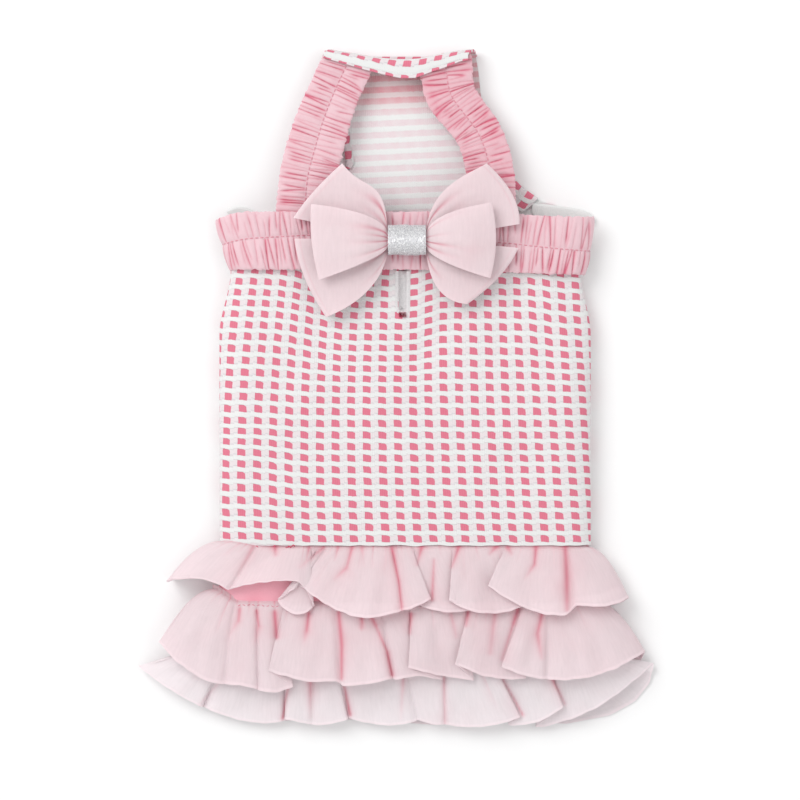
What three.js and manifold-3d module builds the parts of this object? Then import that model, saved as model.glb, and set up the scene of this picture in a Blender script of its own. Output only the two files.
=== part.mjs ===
// A small dog's dress, lying flat on its belly side with the back up: millimetres, +X to the right, +Y to the neck, +Z up.
// A checked knit tube is closed by a back panel and a belly panel. Gathered straps and a gathered waistband frame the
// neck opening, a two-layer bow sits on the waistband, and three gathered ruffles hang from an underskirt.
import * as THREE from 'three';
import Module from 'manifold-3d';
import { mergeVertices } from 'three/addons/utils/BufferGeometryUtils.js';

const wasm = await Module();
wasm.setup();

// Cloth
const KNIT = 1.4; // wall of the checked knit
const WOVEN = 1.0; // wall of the underskirt, ruffles and bow
const GAP = 0.3; // clearance between pieces that touch
const FINEST = 0.02; // details smaller than this are left out where folds are joined

// Lengths along the back, from the neck to the lowest hem
const STRAP_DROP = 72;
const BAND_HEIGHT = 26;
const BODY_LENGTH = 121;
const UNDERSKIRT_LENGTH = 48;
const BOTTOM_RUFFLE_LENGTH = 33;
const NECK_Y = (STRAP_DROP + BAND_HEIGHT + BODY_LENGTH + UNDERSKIRT_LENGTH + BOTTOM_RUFFLE_LENGTH) / 2;
const BAND_TOP_Y = NECK_Y - STRAP_DROP;
const BAND_Y = BAND_TOP_Y - BAND_HEIGHT;
const SEAM_Y = BAND_Y - BODY_LENGTH;

// The body tube: its middle lies a little to the right of the skirt's
const BODY_WIDTH = 164;
const HALF_BODY = BODY_WIDTH / 2;
const BODY_X = 4;
const SIDE_HEIGHT = 6.3; // the side seams, where the two panels meet
const SIDE_GAP = 1; // between the two panels' edges, which lean in towards each other there
const NIP_LEFT = 1.4; // how far the waistband draws in each side
const NIP_RIGHT = 3.2;
const NIP_REACH = 28; // how far below the waistband that shows
const TOP_CORNER = 14; // how far in the top is rounded at each side
const BELLY_CORNER = 8;
const LOFT_AT_BAND = 12.7; // height of the back panel's outside
const LOFT_AT_MIDDLE = 14.2;
const LOFT_AT_SEAM = 11.9;
const PANEL_TUCK = 3; // the back panel's edge under the waistband

// The slit for a leash, under the bow
const SLIT_LENGTH = 18.5;
const SLIT_WIDTH = 3.6;
const SLIT_X = 2.1;

// Neck: the belly panel is folded over at the top and hemmed
const NECK_WIDTH = 73;
const NECK_FOLD_HEIGHT = 11.6;
const NECK_FOLD_DEPTH = 2.2; // from the start of the fold to its outermost line
const NECK_DIP = 4.4; // the fold runs lower in the middle
const FOLD_OVER = 8; // how far the folded strip comes back in the middle
const FOLD_OVER_ENDS = 4.6;

// Gathered straps and waistband: flat casings with a stitched line along the middle
const STRAP_WIDTH = 26;
const STRAP_THICKNESS = 2.6;
const STRAP_TUCK = 4; // under the waistband
const STRAP_SLANT = 0.2; // of the ends under the neck fold, which run along it
const STRAP_TURN = 14; // the length over which the gathers turn square to the strap
const BAND_THICKNESS = 3.4;
const BAND_EASE = 0.5; // between the waistband and the body tube's sides
const GATHER_PITCH = 5.5;
const GATHER_DEPTH = 0.5;

// Skirt: an underskirt with three ruffles, each sewn on by its top edge
const LAYER = WOVEN + GAP; // from one cloth's middle to the next one's, lying on it
const INSIDE_EASE = 0.5; // further clearance at the rounded sides, inside the top ruffle
const OUTSIDE_EASE = 1.7; // and outside the underskirt
const UNDERSKIRT_FLARE = 2.2; // at each side
const UNDERSKIRT_TOP = LOFT_AT_SEAM - 1.1; // height of the wall's middle at the main seam
const UNDERSKIRT_TOP_END = 9.5;
const UNDERSKIRT_HALF = HALF_BODY - WOVEN / 2 - LAYER - INSIDE_EASE;
const TOP_RUFFLE_LENGTH = 30;
const MIDDLE_RUFFLE_LENGTH = 40;
const TOP_RUFFLE_WIDTH = 206;
const MIDDLE_RUFFLE_WIDTH = 220;
const BOTTOM_RUFFLE_WIDTH = 228;
const BELLY_Z = WOVEN / 2; // the middle of cloth that lies on the ground
const RUFFLE_TIP_Z = 2.4;
const RUFFLE_CORNER = 16;
const FLUTE = 3.2; // height between the lower and the upper folds of a ruffle
const FLUTE_ARCH = 0.9; // how far the middle of a flute rises
const FLUTE_VALLEY = 0.5; // how far the cloth dips between two flutes, as a share of FLUTE
const FLUTE_GROWTH = 0.6; // power by which flutes grow from the seam to the hem
const WING = { from: 0.8, across: 0.75, down: 1.25 }; // the outermost flutes bow out: powers along them, from this share
const LANDING_SPAN = 0.3; // the share of a ruffle's length over which its belly side comes down to the ground

// drop: from the main seam to the ruffle's own one. seamZ and hemZ: height of the lower folds. swell: how far they
// rise in between. landing: the share of the length at which the belly side starts to come down, past the hem below it.
const BOTTOM_RUFFLE = {
  drop: UNDERSKIRT_LENGTH,
  length: BOTTOM_RUFFLE_LENGTH,
  waist: UNDERSKIRT_HALF + UNDERSKIRT_FLARE + LAYER + OUTSIDE_EASE,
  spread: BOTTOM_RUFFLE_WIDTH / 2,
  seamZ: UNDERSKIRT_TOP_END + LAYER,
  hemZ: BELLY_Z + LAYER + FLUTE_VALLEY * FLUTE,
  swell: 0,
  bellyZ: BELLY_Z + LAYER,
  landing: (UNDERSKIRT_LENGTH / 2 + MIDDLE_RUFFLE_LENGTH - UNDERSKIRT_LENGTH) / BOTTOM_RUFFLE_LENGTH + 0.18,
};
const MIDDLE_RUFFLE = {
  drop: UNDERSKIRT_LENGTH / 2,
  length: MIDDLE_RUFFLE_LENGTH,
  waist: UNDERSKIRT_HALF + UNDERSKIRT_FLARE + LAYER + OUTSIDE_EASE,
  spread: MIDDLE_RUFFLE_WIDTH / 2,
  seamZ: (UNDERSKIRT_TOP + UNDERSKIRT_TOP_END) / 2 + LAYER,
  hemZ: UNDERSKIRT_TOP_END + 2 * LAYER,
  swell: 2,
  bellyZ: BELLY_Z + LAYER,
  landing: (TOP_RUFFLE_LENGTH - UNDERSKIRT_LENGTH / 2) / MIDDLE_RUFFLE_LENGTH + 0.09,
  over: BOTTOM_RUFFLE,
};
const TOP_RUFFLE = {
  drop: 0,
  length: TOP_RUFFLE_LENGTH,
  waist: HALF_BODY - WOVEN / 2,
  spread: TOP_RUFFLE_WIDTH / 2,
  seamZ: UNDERSKIRT_TOP + LAYER,
  hemZ: UNDERSKIRT_TOP + 3 * LAYER,
  swell: 0,
  bellyZ: BELLY_Z,
  landing: 0,
  over: MIDDLE_RUFFLE,
};

// The bow
const BOW_X = 4.8;
const KNOT_WIDTH = 16.5;
const KNOT_LENGTH = 13.2;
const KNOT_DEPTH = 9.4;
const BOW_HALF_WIDTH = 49.5;
const BOW_HALF_HEIGHT = 33.5;
const BOW_GRIP = 3.5; // how far the loops reach into the knot
const LOOP_GRIP = [0.57, -0.57]; // their edges inside the knot, as shares of half its hollow
const TAIL_GRIP = [0.71, 0.14];
const LOOP_START = 0.74; // their heights inside the knot, as shares of its hollow
const TAIL_START = 0.27;
const LOOP_END = 0.94; // their heights outside it, as shares of its depth
const TAIL_END = 0.27;
const LOOP_OPEN = 2.6; // how far each puffs up
const TAIL_OPEN = 1.2;

// Names the columns of a table.
const table = (columns, rows) =>
  rows.map((row) => Object.fromEntries(columns.map((name, i) => [name, row[i]])));

// Flutes from left to right. seam: shares of half the seam. hem: shares of the spread. drop: shares of the length.
// level: 0 lies under its neighbours and 1 over them. Where two flutes overlap, the cloth doubles back between them.
const FLUTE_COLUMNS = ['seam0', 'seam1', 'hem0', 'hem1', 'drop0', 'dropMid', 'drop1', 'level0', 'level1'];
const TOP_FLUTES = table(FLUTE_COLUMNS, [
  [-1.0, -0.8, -0.985, -0.71, 0.5, 0.45, 0.62, 0.35, 0.45],
  [-0.8, -0.55, -0.71, -0.42, 0.6, 0.5, 0.48, 0.45, 1.0],
  [-0.54, -0.42, -0.505, -0.355, 0.79, 0.97, 0.88, 0.0, 0.0],
  [-0.41, -0.06, -0.41, 0.02, 0.53, 0.97, 0.91, 1.0, 1.0],
  [-0.05, 0.03, 0.03, 0.155, 0.91, 0.84, 0.73, 0.9, 1.0],
  [0.05, 0.24, 0.1, 0.33, 0.85, 0.94, 0.89, 0.0, 0.0],
  [0.26, 0.51, 0.22, 0.545, 0.76, 0.95, 0.85, 1.0, 0.0],
  [0.54, 0.87, 0.385, 0.745, 0.53, 0.89, 0.98, 1.0, 1.0],
  [0.88, 1.0, 0.755, 1.0, 0.81, 0.85, 0.73, 0.9, 0.3],
]);
const MIDDLE_FLUTES = table(FLUTE_COLUMNS, [
  [-1.0, -0.88, -0.95, -0.69, 0.43, 0.76, 0.9, 0.4, 0.3],
  [-0.88, -0.77, -0.68, -0.555, 0.9, 0.91, 0.96, 0.3, 0.3],
  [-0.77, -0.64, -0.55, -0.405, 0.96, 0.98, 0.92, 0.3, 0.0],
  [-0.62, -0.37, -0.515, -0.225, 0.73, 0.85, 0.85, 1.0, 1.0],
  [-0.36, -0.14, -0.215, -0.015, 0.92, 0.89, 0.83, 1.0, 0.9],
  [-0.13, 0.0, -0.01, 0.19, 0.85, 0.81, 0.86, 0.5, 0.0],
  [0.03, 0.3, 0.045, 0.315, 0.7, 0.8, 0.86, 1.0, 0.0],
  [0.34, 0.58, 0.23, 0.525, 0.65, 0.82, 0.83, 1.0, 0.0],
  [0.62, 0.73, 0.415, 0.595, 0.69, 0.79, 0.84, 1.0, 0.9],
  [0.74, 1.0, 0.605, 1.0, 0.84, 0.79, 0.54, 0.9, 0.4],
]);
const BOTTOM_FLUTES = table(FLUTE_COLUMNS, [
  [-1.0, -0.91, -1.0, -0.74, 0.13, 0.46, 0.7, 0.4, 0.9],
  [-0.89, -0.64, -0.755, -0.42, 0.66, 0.87, 0.88, 0.2, 0.1],
  [-0.62, -0.49, -0.435, -0.33, 0.85, 0.87, 0.92, 1.0, 0.7],
  [-0.48, -0.37, -0.32, -0.18, 0.92, 0.91, 0.83, 0.8, 1.0],
  [-0.34, -0.03, -0.2, 0.075, 0.8, 0.92, 0.87, 0.1, 0.4],
  [-0.02, 0.19, 0.085, 0.185, 0.85, 0.91, 0.92, 0.6, 0.7],
  [0.2, 0.44, 0.195, 0.485, 0.91, 0.94, 0.8, 0.8, 1.0],
  [0.47, 0.72, 0.43, 0.65, 0.93, 0.88, 0.66, 0.1, 1.0],
  [0.74, 1.0, 0.535, 1.0, 0.97, 0.7, 0.09, 0.0, 0.4],
]);
// The ruffles' hidden belly side, from the right tip back to the left one. fall is the way down from the tip to the hem.
const BELLY_HEM = table(['seam', 'hem', 'fall'], [
  [0.97, 0.985, 0.32],
  [0.9, 0.93, 0.6],
  [0.75, 0.83, 0.82],
  [0.52, 0.66, 0.95],
  [0.28, 0.4, 0.88],
  [0.04, 0.16, 0.97],
  [-0.22, -0.12, 0.88],
  [-0.5, -0.46, 0.96],
  [-0.74, -0.7, 0.86],
  [-0.9, -0.88, 0.62],
  [-0.97, -0.97, 0.34],
]);

// Creases in the back panel, each a straight dent between two places: across as shares of half the body's width and
// down as shares of BODY_LENGTH, both from the waistband's middle, then depth and width in shares of KNIT.
const CREASES = table(['across0', 'down0', 'across1', 'down1', 'depth', 'width'], [
  [0.36, 0.08, 0.04, 0.34, 0.7, 4.5],
  [0.62, 0.03, 0.5, 0.3, 0.5, 4],
  [0.88, 0.02, 0.97, 0.3, 0.8, 4],
  [-0.55, 0.05, -0.3, 0.5, 0.35, 6],
  [-0.1, 0.62, 0.7, 0.7, 0.3, 6],
]);

// The belly panel above the waistband: down from the neck fold as a share of STRAP_DROP, and its two edges from the
// middle as shares of half the body's width.
const ARMHOLES = table(['down', 'left', 'right'], [
  [0.0, -0.445, 0.445],
  [0.26, -0.39, 0.46],
  [0.5, -0.34, 0.475],
  [0.71, -0.315, 0.54],
  [0.83, -0.36, 0.62],
  [0.905, -0.5, 0.71],
  [0.95, -0.68, 0.8],
  [0.98, -0.86, 0.91],
  [1.02, -0.96, 0.975],
  [1.07, -1.0, 1.0],
]);

// The straps' middle lines: down as a share of STRAP_DROP, the place across as a share of half the neck's width, and
// the width as a share of STRAP_WIDTH.
const STRAP_COLUMNS = ['down', 'across', 'width'];
const STRAP_ROUTES = {
  left: table(STRAP_COLUMNS, [
    [0.085, -0.67, 0.92],
    [0.25, -0.84, 0.88],
    [0.43, -0.98, 0.94],
    [0.6, -1.08, 0.98],
    [0.78, -1.17, 0.97],
    [1.0, -1.21, 1.0],
  ]),
  right: table(STRAP_COLUMNS, [
    [0.105, 0.49, 0.94],
    [0.28, 0.55, 0.86],
    [0.4, 0.71, 0.8],
    [0.51, 0.87, 0.8],
    [0.65, 0.98, 0.82],
    [0.81, 1.03, 0.85],
    [1.0, 1.03, 0.87],
  ]),
};

// The bow's loops: corners of each outer edge as shares of BOW_HALF_WIDTH and BOW_HALF_HEIGHT, and the bulge of the
// long sides and of the outer edge as shares of BOW_HALF_HEIGHT. side0 is the upper long side.
const BOW_COLUMNS = ['name', 'x0', 'y0', 'x1', 'y1', 'bulge0', 'bulge1', 'edgeBulge', 'layer'];
const BOW_LOOPS = table(BOW_COLUMNS, [
  ['bow_tail_upper_left', -0.57, 1.0, -1.0, 0.29, -0.04, 0.02, 0.03, 0],
  ['bow_tail_lower_left', -0.99, 0.02, -0.71, -1.0, 0.02, 0.2, 0.05, 0],
  ['bow_tail_upper_right', 0.7, 1.0, 0.99, 0.21, 0.03, 0.02, 0.08, 0],
  ['bow_tail_lower_right', 0.98, -0.1, 0.53, -0.83, 0.02, 0.24, 0.06, 0],
  ['bow_loop_left', -0.84, 0.46, -0.77, -0.52, 0.1, 0.04, 0.03, 1],
  ['bow_loop_right', 0.74, 0.48, 0.75, -0.46, 0.1, 0.06, 0.1, 1],
]);

const mix = (a, b, t) => a + (b - a) * t;
const clamp = (x, low, high) => Math.min(Math.max(x, low), high);
const smooth = (x, low, high) => {
  const t = clamp((x - low) / (high - low), 0, 1);
  return t * t * (3 - 2 * t);
};
const steps = (count, fn) => Array.from({ length: count + 1 }, (_, i) => fn(i / count));

// Reads a table's column at a place along another column, with straight lines between the rows.
function along(rows, key, at, column) {
  const i = clamp(rows.filter((row) => row[key] < at).length - 1, 0, rows.length - 2);
  const low = rows[i];
  const high = rows[i + 1];
  return mix(low[column], high[column], clamp((at - low[key]) / (high[key] - low[key]), 0, 1));
}

// The two faces of a wall of even thickness about a grid of points. loop joins the last row to the first one.
function faces(rows, thickness, loop) {
  const m = rows.length;
  const n = rows[0].length;
  const at = (i, j) => rows[loop ? (i + m) % m : clamp(i, 0, m - 1)][clamp(j, 0, n - 1)];
  return [1, -1].map((side) =>
    rows.map((row, i) =>
      row.map((point, j) => {
        const down = new THREE.Vector3().subVectors(at(i + 1, j), at(i - 1, j));
        const across = new THREE.Vector3().subVectors(at(i, j + 1), at(i, j - 1));
        return down.cross(across).setLength((side * thickness) / 2).add(point);
      }),
    ),
  );
}

// A closed body between two faces.
function between([outer, inner], loop) {
  const m = outer.length;
  const n = outer[0].length;
  const triangles = [];
  const quad = (a, b, c, d) => triangles.push(a, b, c, a, c, d);
  const o = (i, j) => (i % m) * n + j;
  const p = (i, j) => m * n + o(i, j);
  const last = loop ? m : m - 1;
  for (let i = 0; i < last; i++) {
    for (let j = 0; j < n - 1; j++) {
      quad(o(i, j), o(i + 1, j), o(i + 1, j + 1), o(i, j + 1));
      quad(p(i, j), p(i, j + 1), p(i + 1, j + 1), p(i + 1, j));
    }
    quad(o(i, 0), p(i, 0), p(i + 1, 0), o(i + 1, 0));
    quad(o(i, n - 1), o(i + 1, n - 1), p(i + 1, n - 1), p(i, n - 1));
  }
  for (let j = 0; j < n - 1 && !loop; j++) {
    quad(o(0, j), o(0, j + 1), p(0, j + 1), p(0, j));
    quad(o(m - 1, j), p(m - 1, j), p(m - 1, j + 1), o(m - 1, j + 1));
  }
  return facingOut([...outer.flat(), ...inner.flat()], triangles);
}

// A wall as one closed body.
const wall = (rows, thickness, loop = false) => between(faces(rows, thickness, loop), loop);

// A wall round a loop whose folds touch each other near the seam. ends holds the rows where flutes begin and end. Each
// stretch between two of them is a body of its own, and they are joined into one.
function foldedWall(rows, thickness, ends) {
  const sides = faces(rows, thickness, true);
  const stretches = ends.map((from, k) => {
    const to = k + 1 < ends.length ? ends[k + 1] : ends[0] + rows.length;
    return sides.map((side) => [...side, ...side].slice(from, to + 1));
  });
  const bodies = stretches.map((stretch) => solid(between(stretch, false)));
  return parted(geometryOf(wasm.Manifold.union(bodies).simplify(FINEST)));
}

// A solid through closed sections of equal point count. Each end is flat, closed about the section's middle.
function skin(sections) {
  const n = sections[0].length;
  const last = sections.length - 1;
  const middles = [sections[0], sections[last]].map((section) =>
    section.reduce((sum, point) => sum.add(point), new THREE.Vector3()).divideScalar(n),
  );
  const triangles = [];
  for (let j = 0; j < n; j++) {
    const next = (j + 1) % n;
    for (let i = 0; i < last; i++) {
      const [a, b] = [i * n + j, i * n + next];
      triangles.push(a, b, b + n, a, b + n, a + n);
    }
    const end = last * n;
    triangles.push(end + n, next, j, end + n + 1, end + j, end + next);
  }
  return facingOut([...sections.flat(), ...middles], triangles);
}

// An indexed geometry whose faces point out.
function facingOut(points, triangles) {
  let volume = 0;
  for (let i = 0; i < triangles.length; i += 3) {
    const [a, b, c] = [0, 1, 2].map((k) => points[triangles[i + k]]);
    volume += a.dot(new THREE.Vector3().crossVectors(b, c));
  }
  if (volume < 0) triangles.reverse();
  const geometry = new THREE.BufferGeometry().setFromPoints(points);
  geometry.setIndex(triangles);
  return geometry;
}

// The same shape as a solid that can be cut.
function solid(geometry) {
  const bare = geometry.clone();
  bare.deleteAttribute('normal');
  bare.deleteAttribute('uv');
  const merged = mergeVertices(bare, 1e-4);
  return new wasm.Manifold(
    new wasm.Mesh({
      numProp: 3,
      vertProperties: new Float32Array(merged.attributes.position.array),
      triVerts: new Uint32Array(merged.index.array),
    }),
  );
}

// A cut or joined solid's outside. Bubbles shut in between folds, and loose specks, are left out.
function geometryOf(manifold) {
  const { vertProperties, triVerts } = manifold.getMesh();
  const linked = Array.from({ length: vertProperties.length / 3 }, (_, i) => i);
  const rootOf = (i) => {
    while (linked[i] !== i) i = linked[i];
    return i;
  };
  for (let i = 0; i < triVerts.length; i += 3) {
    const root = rootOf(triVerts[i]);
    linked[rootOf(triVerts[i + 1])] = root;
    linked[rootOf(triVerts[i + 2])] = root;
  }
  const shells = new Map();
  for (let i = 0; i < triVerts.length; i += 3) {
    const root = rootOf(triVerts[i]);
    shells.set(root, [...(shells.get(root) ?? []), ...triVerts.slice(i, i + 3)]);
  }
  const outside = [...shells.values()].sort((a, b) => b.length - a.length)[0];
  const geometry = new THREE.BufferGeometry();
  geometry.setAttribute('position', new THREE.BufferAttribute(vertProperties, 3));
  geometry.setIndex(outside);
  return geometry;
}

// Moves folds that only touch each other apart, by drawing in the corners that lie at the same place.
function parted(geometry) {
  geometry.computeVertexNormals();
  const { position, normal } = geometry.attributes;
  const corners = Array.from(new Set(geometry.index.array), (i) => ({
    i,
    place: new THREE.Vector3().fromBufferAttribute(position, i),
    out: new THREE.Vector3().fromBufferAttribute(normal, i),
  }));
  const shared = Map.groupBy(corners, ({ place }) => place.toArray().join());
  for (const { i, place, out } of [...shared.values()].filter((group) => group.length > 1).flat()) {
    position.setXYZ(i, ...place.addScaledVector(out, -FINEST));
  }
  return geometry;
}

// How high a flattened tube stands at a place across it: 0 at its side, 1 past its rounded corner.
function rise(across, halfWidth, corner) {
  const into = clamp((Math.abs(across) - (halfWidth - corner)) / corner, 0, 1);
  return Math.sqrt(1 - into * into);
}

// Places across a flattened tube, close together in its rounded corners. They run from the left side to the right one.
function placesAcross(halfWidth, corner, cornerSteps, flatSteps) {
  const right = steps(cornerSteps, (t) => halfWidth - corner + corner * Math.sin((t * Math.PI) / 2));
  const flat = steps(flatSteps, (t) => mix(-1, 1, t) * (halfWidth - corner)).slice(1, -1);
  return [...right.map((x) => -x).reverse(), ...flat, ...right];
}

// The back panel's outside height along the body.
function loft(y) {
  const middle = (BAND_Y + SEAM_Y) / 2;
  const away = (y - middle) / (BODY_LENGTH / 2);
  const end = away > 0 ? LOFT_AT_BAND : LOFT_AT_SEAM;
  return mix(LOFT_AT_MIDDLE, end, Math.min(away * away, 1.3));
}

// How deep the creases dent the back panel at a place.
function dent(across, y) {
  return CREASES.reduce((sum, { across0, down0, across1, down1, depth, width }) => {
    const start = new THREE.Vector2(across0 * HALF_BODY, BAND_Y - down0 * BODY_LENGTH);
    const run = new THREE.Vector2(across1 * HALF_BODY, BAND_Y - down1 * BODY_LENGTH).sub(start);
    const place = new THREE.Vector2(across, y).sub(start);
    const beyond = Math.max(Math.abs(place.dot(run) / run.dot(run) - 0.5) - 0.5, 0) * run.length();
    const away = Math.hypot(place.cross(run) / run.length(), beyond) / (width * KNIT);
    return sum + depth * KNIT * Math.exp(-away * away);
  }, 0);
}

// Where a place across the body tube lies, drawn in at each side by the waistband.
function bodyPlace(across, y) {
  const nip = across < 0 ? NIP_LEFT : NIP_RIGHT;
  return BODY_X + across * (1 - (nip / HALF_BODY) * smooth(y, BAND_Y - NIP_REACH, BAND_Y));
}

function backPanel() {
  const half = HALF_BODY - KNIT / 2;
  const low = SIDE_HEIGHT + SIDE_GAP / 2;
  const rows = steps(14, (t) => {
    const y = mix(BAND_Y + PANEL_TUCK, SEAM_Y + GAP / 2, t);
    return placesAcross(half, TOP_CORNER, 4, 14).map((x) => {
      const z = mix(low, loft(y) - KNIT / 2 - dent(x, y), rise(x, half, TOP_CORNER));
      return new THREE.Vector3(bodyPlace(x, y), y, z);
    });
  });
  const slitTop = BAND_Y + GAP;
  const slit = new THREE.BoxGeometry(SLIT_WIDTH, SLIT_LENGTH, SIDE_HEIGHT);
  slit.translate(SLIT_X, slitTop - SLIT_LENGTH / 2, LOFT_AT_MIDDLE);
  return geometryOf(solid(wall(rows, KNIT)).subtract(solid(slit)));
}

function bellyPanel() {
  const half = HALF_BODY - KNIT / 2;
  const foldRadius = (NECK_FOLD_HEIGHT - KNIT) / 2;
  const top = NECK_Y - NECK_FOLD_DEPTH - KNIT / 2;
  const armholeStart = NECK_Y - ARMHOLES.at(-1).down * STRAP_DROP;
  const shares = placesAcross(half, BELLY_CORNER, 3, 6).map((x) => x / half);
  const flat = (y) => {
    const down = (NECK_Y - y) / STRAP_DROP;
    const left = along(ARMHOLES, 'down', down, 'left') * half;
    const right = along(ARMHOLES, 'down', down, 'right') * half;
    const upturn = smooth(down, 0.97, 1.12);
    return shares.map((s) => {
      const up = 1 - rise(s * half, half, BELLY_CORNER);
      const x = mix(left, right, (s + 1) / 2);
      const z = KNIT / 2 + up * upturn * (SIDE_HEIGHT - SIDE_GAP / 2 - KNIT / 2);
      return new THREE.Vector3(bodyPlace(x, y), y, z);
    });
  };
  const tubeRows = steps(4, (t) => flat(mix(SEAM_Y + GAP / 2, armholeStart, t)));
  const armholeRows = ARMHOLES.slice(1, -1).map((row) => flat(NECK_Y - row.down * STRAP_DROP)).reverse();
  const dip = (s) => NECK_DIP * (1 - s * s);
  const turned = (angle, back) => (s, i) => {
    const edge = flat(top)[i];
    const reach = mix(FOLD_OVER, FOLD_OVER_ENDS, s * s) - NECK_FOLD_DEPTH;
    const y = top - dip(s) + NECK_FOLD_DEPTH * Math.sin(angle) - back * reach;
    return new THREE.Vector3(edge.x, y, KNIT / 2 + foldRadius * (1 - Math.cos(angle)));
  };
  const foldRows = steps(5, (t) => shares.map(turned(t * Math.PI, 0)));
  const strip = shares.map(turned(Math.PI, 1));
  return wall([...tubeRows, ...armholeRows, ...foldRows, strip], KNIT);
}

// One gathered casing along a route. Each frame holds a middle point, the directions across and up, the length so far
// and the casing's width there.
function casing(frames, thickness) {
  const outline = [
    [-1, 0.05], [-0.72, 0.9], [-0.28, 0.9], [0, 0.3], [0.28, 0.9], [0.72, 0.9], [1, 0.05], [0.8, -1], [-0.8, -1],
  ];
  return skin(
    frames.map(({ middle, across, up, length, width }) => {
      const gather = GATHER_DEPTH * Math.cos((2 * Math.PI * length) / GATHER_PITCH);
      return outline.map(([a, h]) => {
        const raised = h > 0 ? gather - GATHER_DEPTH : 0;
        const pulled = Math.abs(a) === 1 ? gather : 0;
        return middle
          .clone()
          .addScaledVector(across, (a * width) / 2 - Math.sign(a) * pulled)
          .addScaledVector(up, (h * thickness) / 2 + raised);
      });
    }),
  );
}

// Frames along a smooth line through points, close enough to show each gather. first is the direction across at the
// start, and the frames turn square to the line over the length STRAP_TURN.
function framesAlong(points, first, widthAt) {
  const curve = new THREE.CatmullRomCurve3(points, false, 'centripetal');
  const total = curve.getLength();
  const count = Math.round((total / GATHER_PITCH) * 3);
  return steps(count, (t) => {
    const tangent = curve.getTangentAt(t);
    const up = new THREE.Vector3().crossVectors(first, tangent).normalize();
    const square = new THREE.Vector3().crossVectors(tangent, up).normalize();
    const across = first.clone().lerp(square, smooth(t * total, 0, STRAP_TURN));
    return { middle: curve.getPointAt(t), across, up, length: t * total, width: widthAt(t) };
  });
}

const BAND_UNDERSIDE = LOFT_AT_BAND + GAP;
const STRAP_END_Z = LOFT_AT_BAND - STRAP_THICKNESS / 2;
const STRAP_START_Z = NECK_FOLD_HEIGHT - KNIT - GAP - STRAP_THICKNESS / 2;

function waistband() {
  const half = HALF_BODY - Math.min(NIP_LEFT, NIP_RIGHT) + BAND_EASE + BAND_THICKNESS / 2;
  const y = (BAND_Y + BAND_TOP_Y) / 2;
  const low = SIDE_HEIGHT + SIDE_GAP;
  const top = BAND_UNDERSIDE + BAND_THICKNESS / 2;
  const points = placesAcross(half, TOP_CORNER, 5, 4).map(
    (x) => new THREE.Vector3(BODY_X + x, y, mix(low, top, rise(x, half, TOP_CORNER))),
  );
  return casing(framesAlong(points, new THREE.Vector3(0, 1, 0), () => BAND_HEIGHT), BAND_THICKNESS);
}

function strap(side) {
  const route = STRAP_ROUTES[side];
  const points = route.map((row) => {
    const z = mix(STRAP_START_Z, STRAP_END_Z, smooth(row.down, 0.2, 1));
    return new THREE.Vector3(BODY_X + (row.across * NECK_WIDTH) / 2, NECK_Y - row.down * STRAP_DROP, z);
  });
  points.push(new THREE.Vector3(points.at(-1).x, BAND_TOP_Y - STRAP_TUCK, STRAP_END_Z));
  const slant = side === 'left' ? -STRAP_SLANT : STRAP_SLANT;
  const first = new THREE.Vector3(1, slant, 0).normalize();
  const widthAt = (t) => along(route, 'down', mix(route[0].down, 1, t), 'width') * STRAP_WIDTH;
  return casing(framesAlong(points, first, widthAt), STRAP_THICKNESS);
}

function underskirt() {
  const half = UNDERSKIRT_HALF;
  const belly = BELLY_Z + LAYER;
  const upper = placesAcross(half, TOP_CORNER, 3, 4);
  const lower = placesAcross(half, BELLY_CORNER, 3, 3).slice(1, -1).reverse();
  const ring = [...upper.map((x) => [x, 1]), ...lower.map((x) => [x, -1])];
  const rows = ring.map(([x, side]) =>
    steps(3, (t) => {
      const y = SEAM_Y - WOVEN / 2 - GAP / 2 - t * UNDERSKIRT_LENGTH;
      const wide = 1 + (UNDERSKIRT_FLARE / half) * smooth(t, 0, 0.4);
      const top = mix(UNDERSKIRT_TOP, UNDERSKIRT_TOP_END, t);
      const low = mix(belly, belly + LAYER, smooth(t, 0, 0.4));
      const z = side > 0
        ? mix(SIDE_HEIGHT, top, rise(x, half, TOP_CORNER))
        : mix(SIDE_HEIGHT, low, rise(x, half, BELLY_CORNER));
      return new THREE.Vector3(BODY_X + x * wide, y, z);
    }),
  );
  return wall(rows, WOVEN, true);
}

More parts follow.
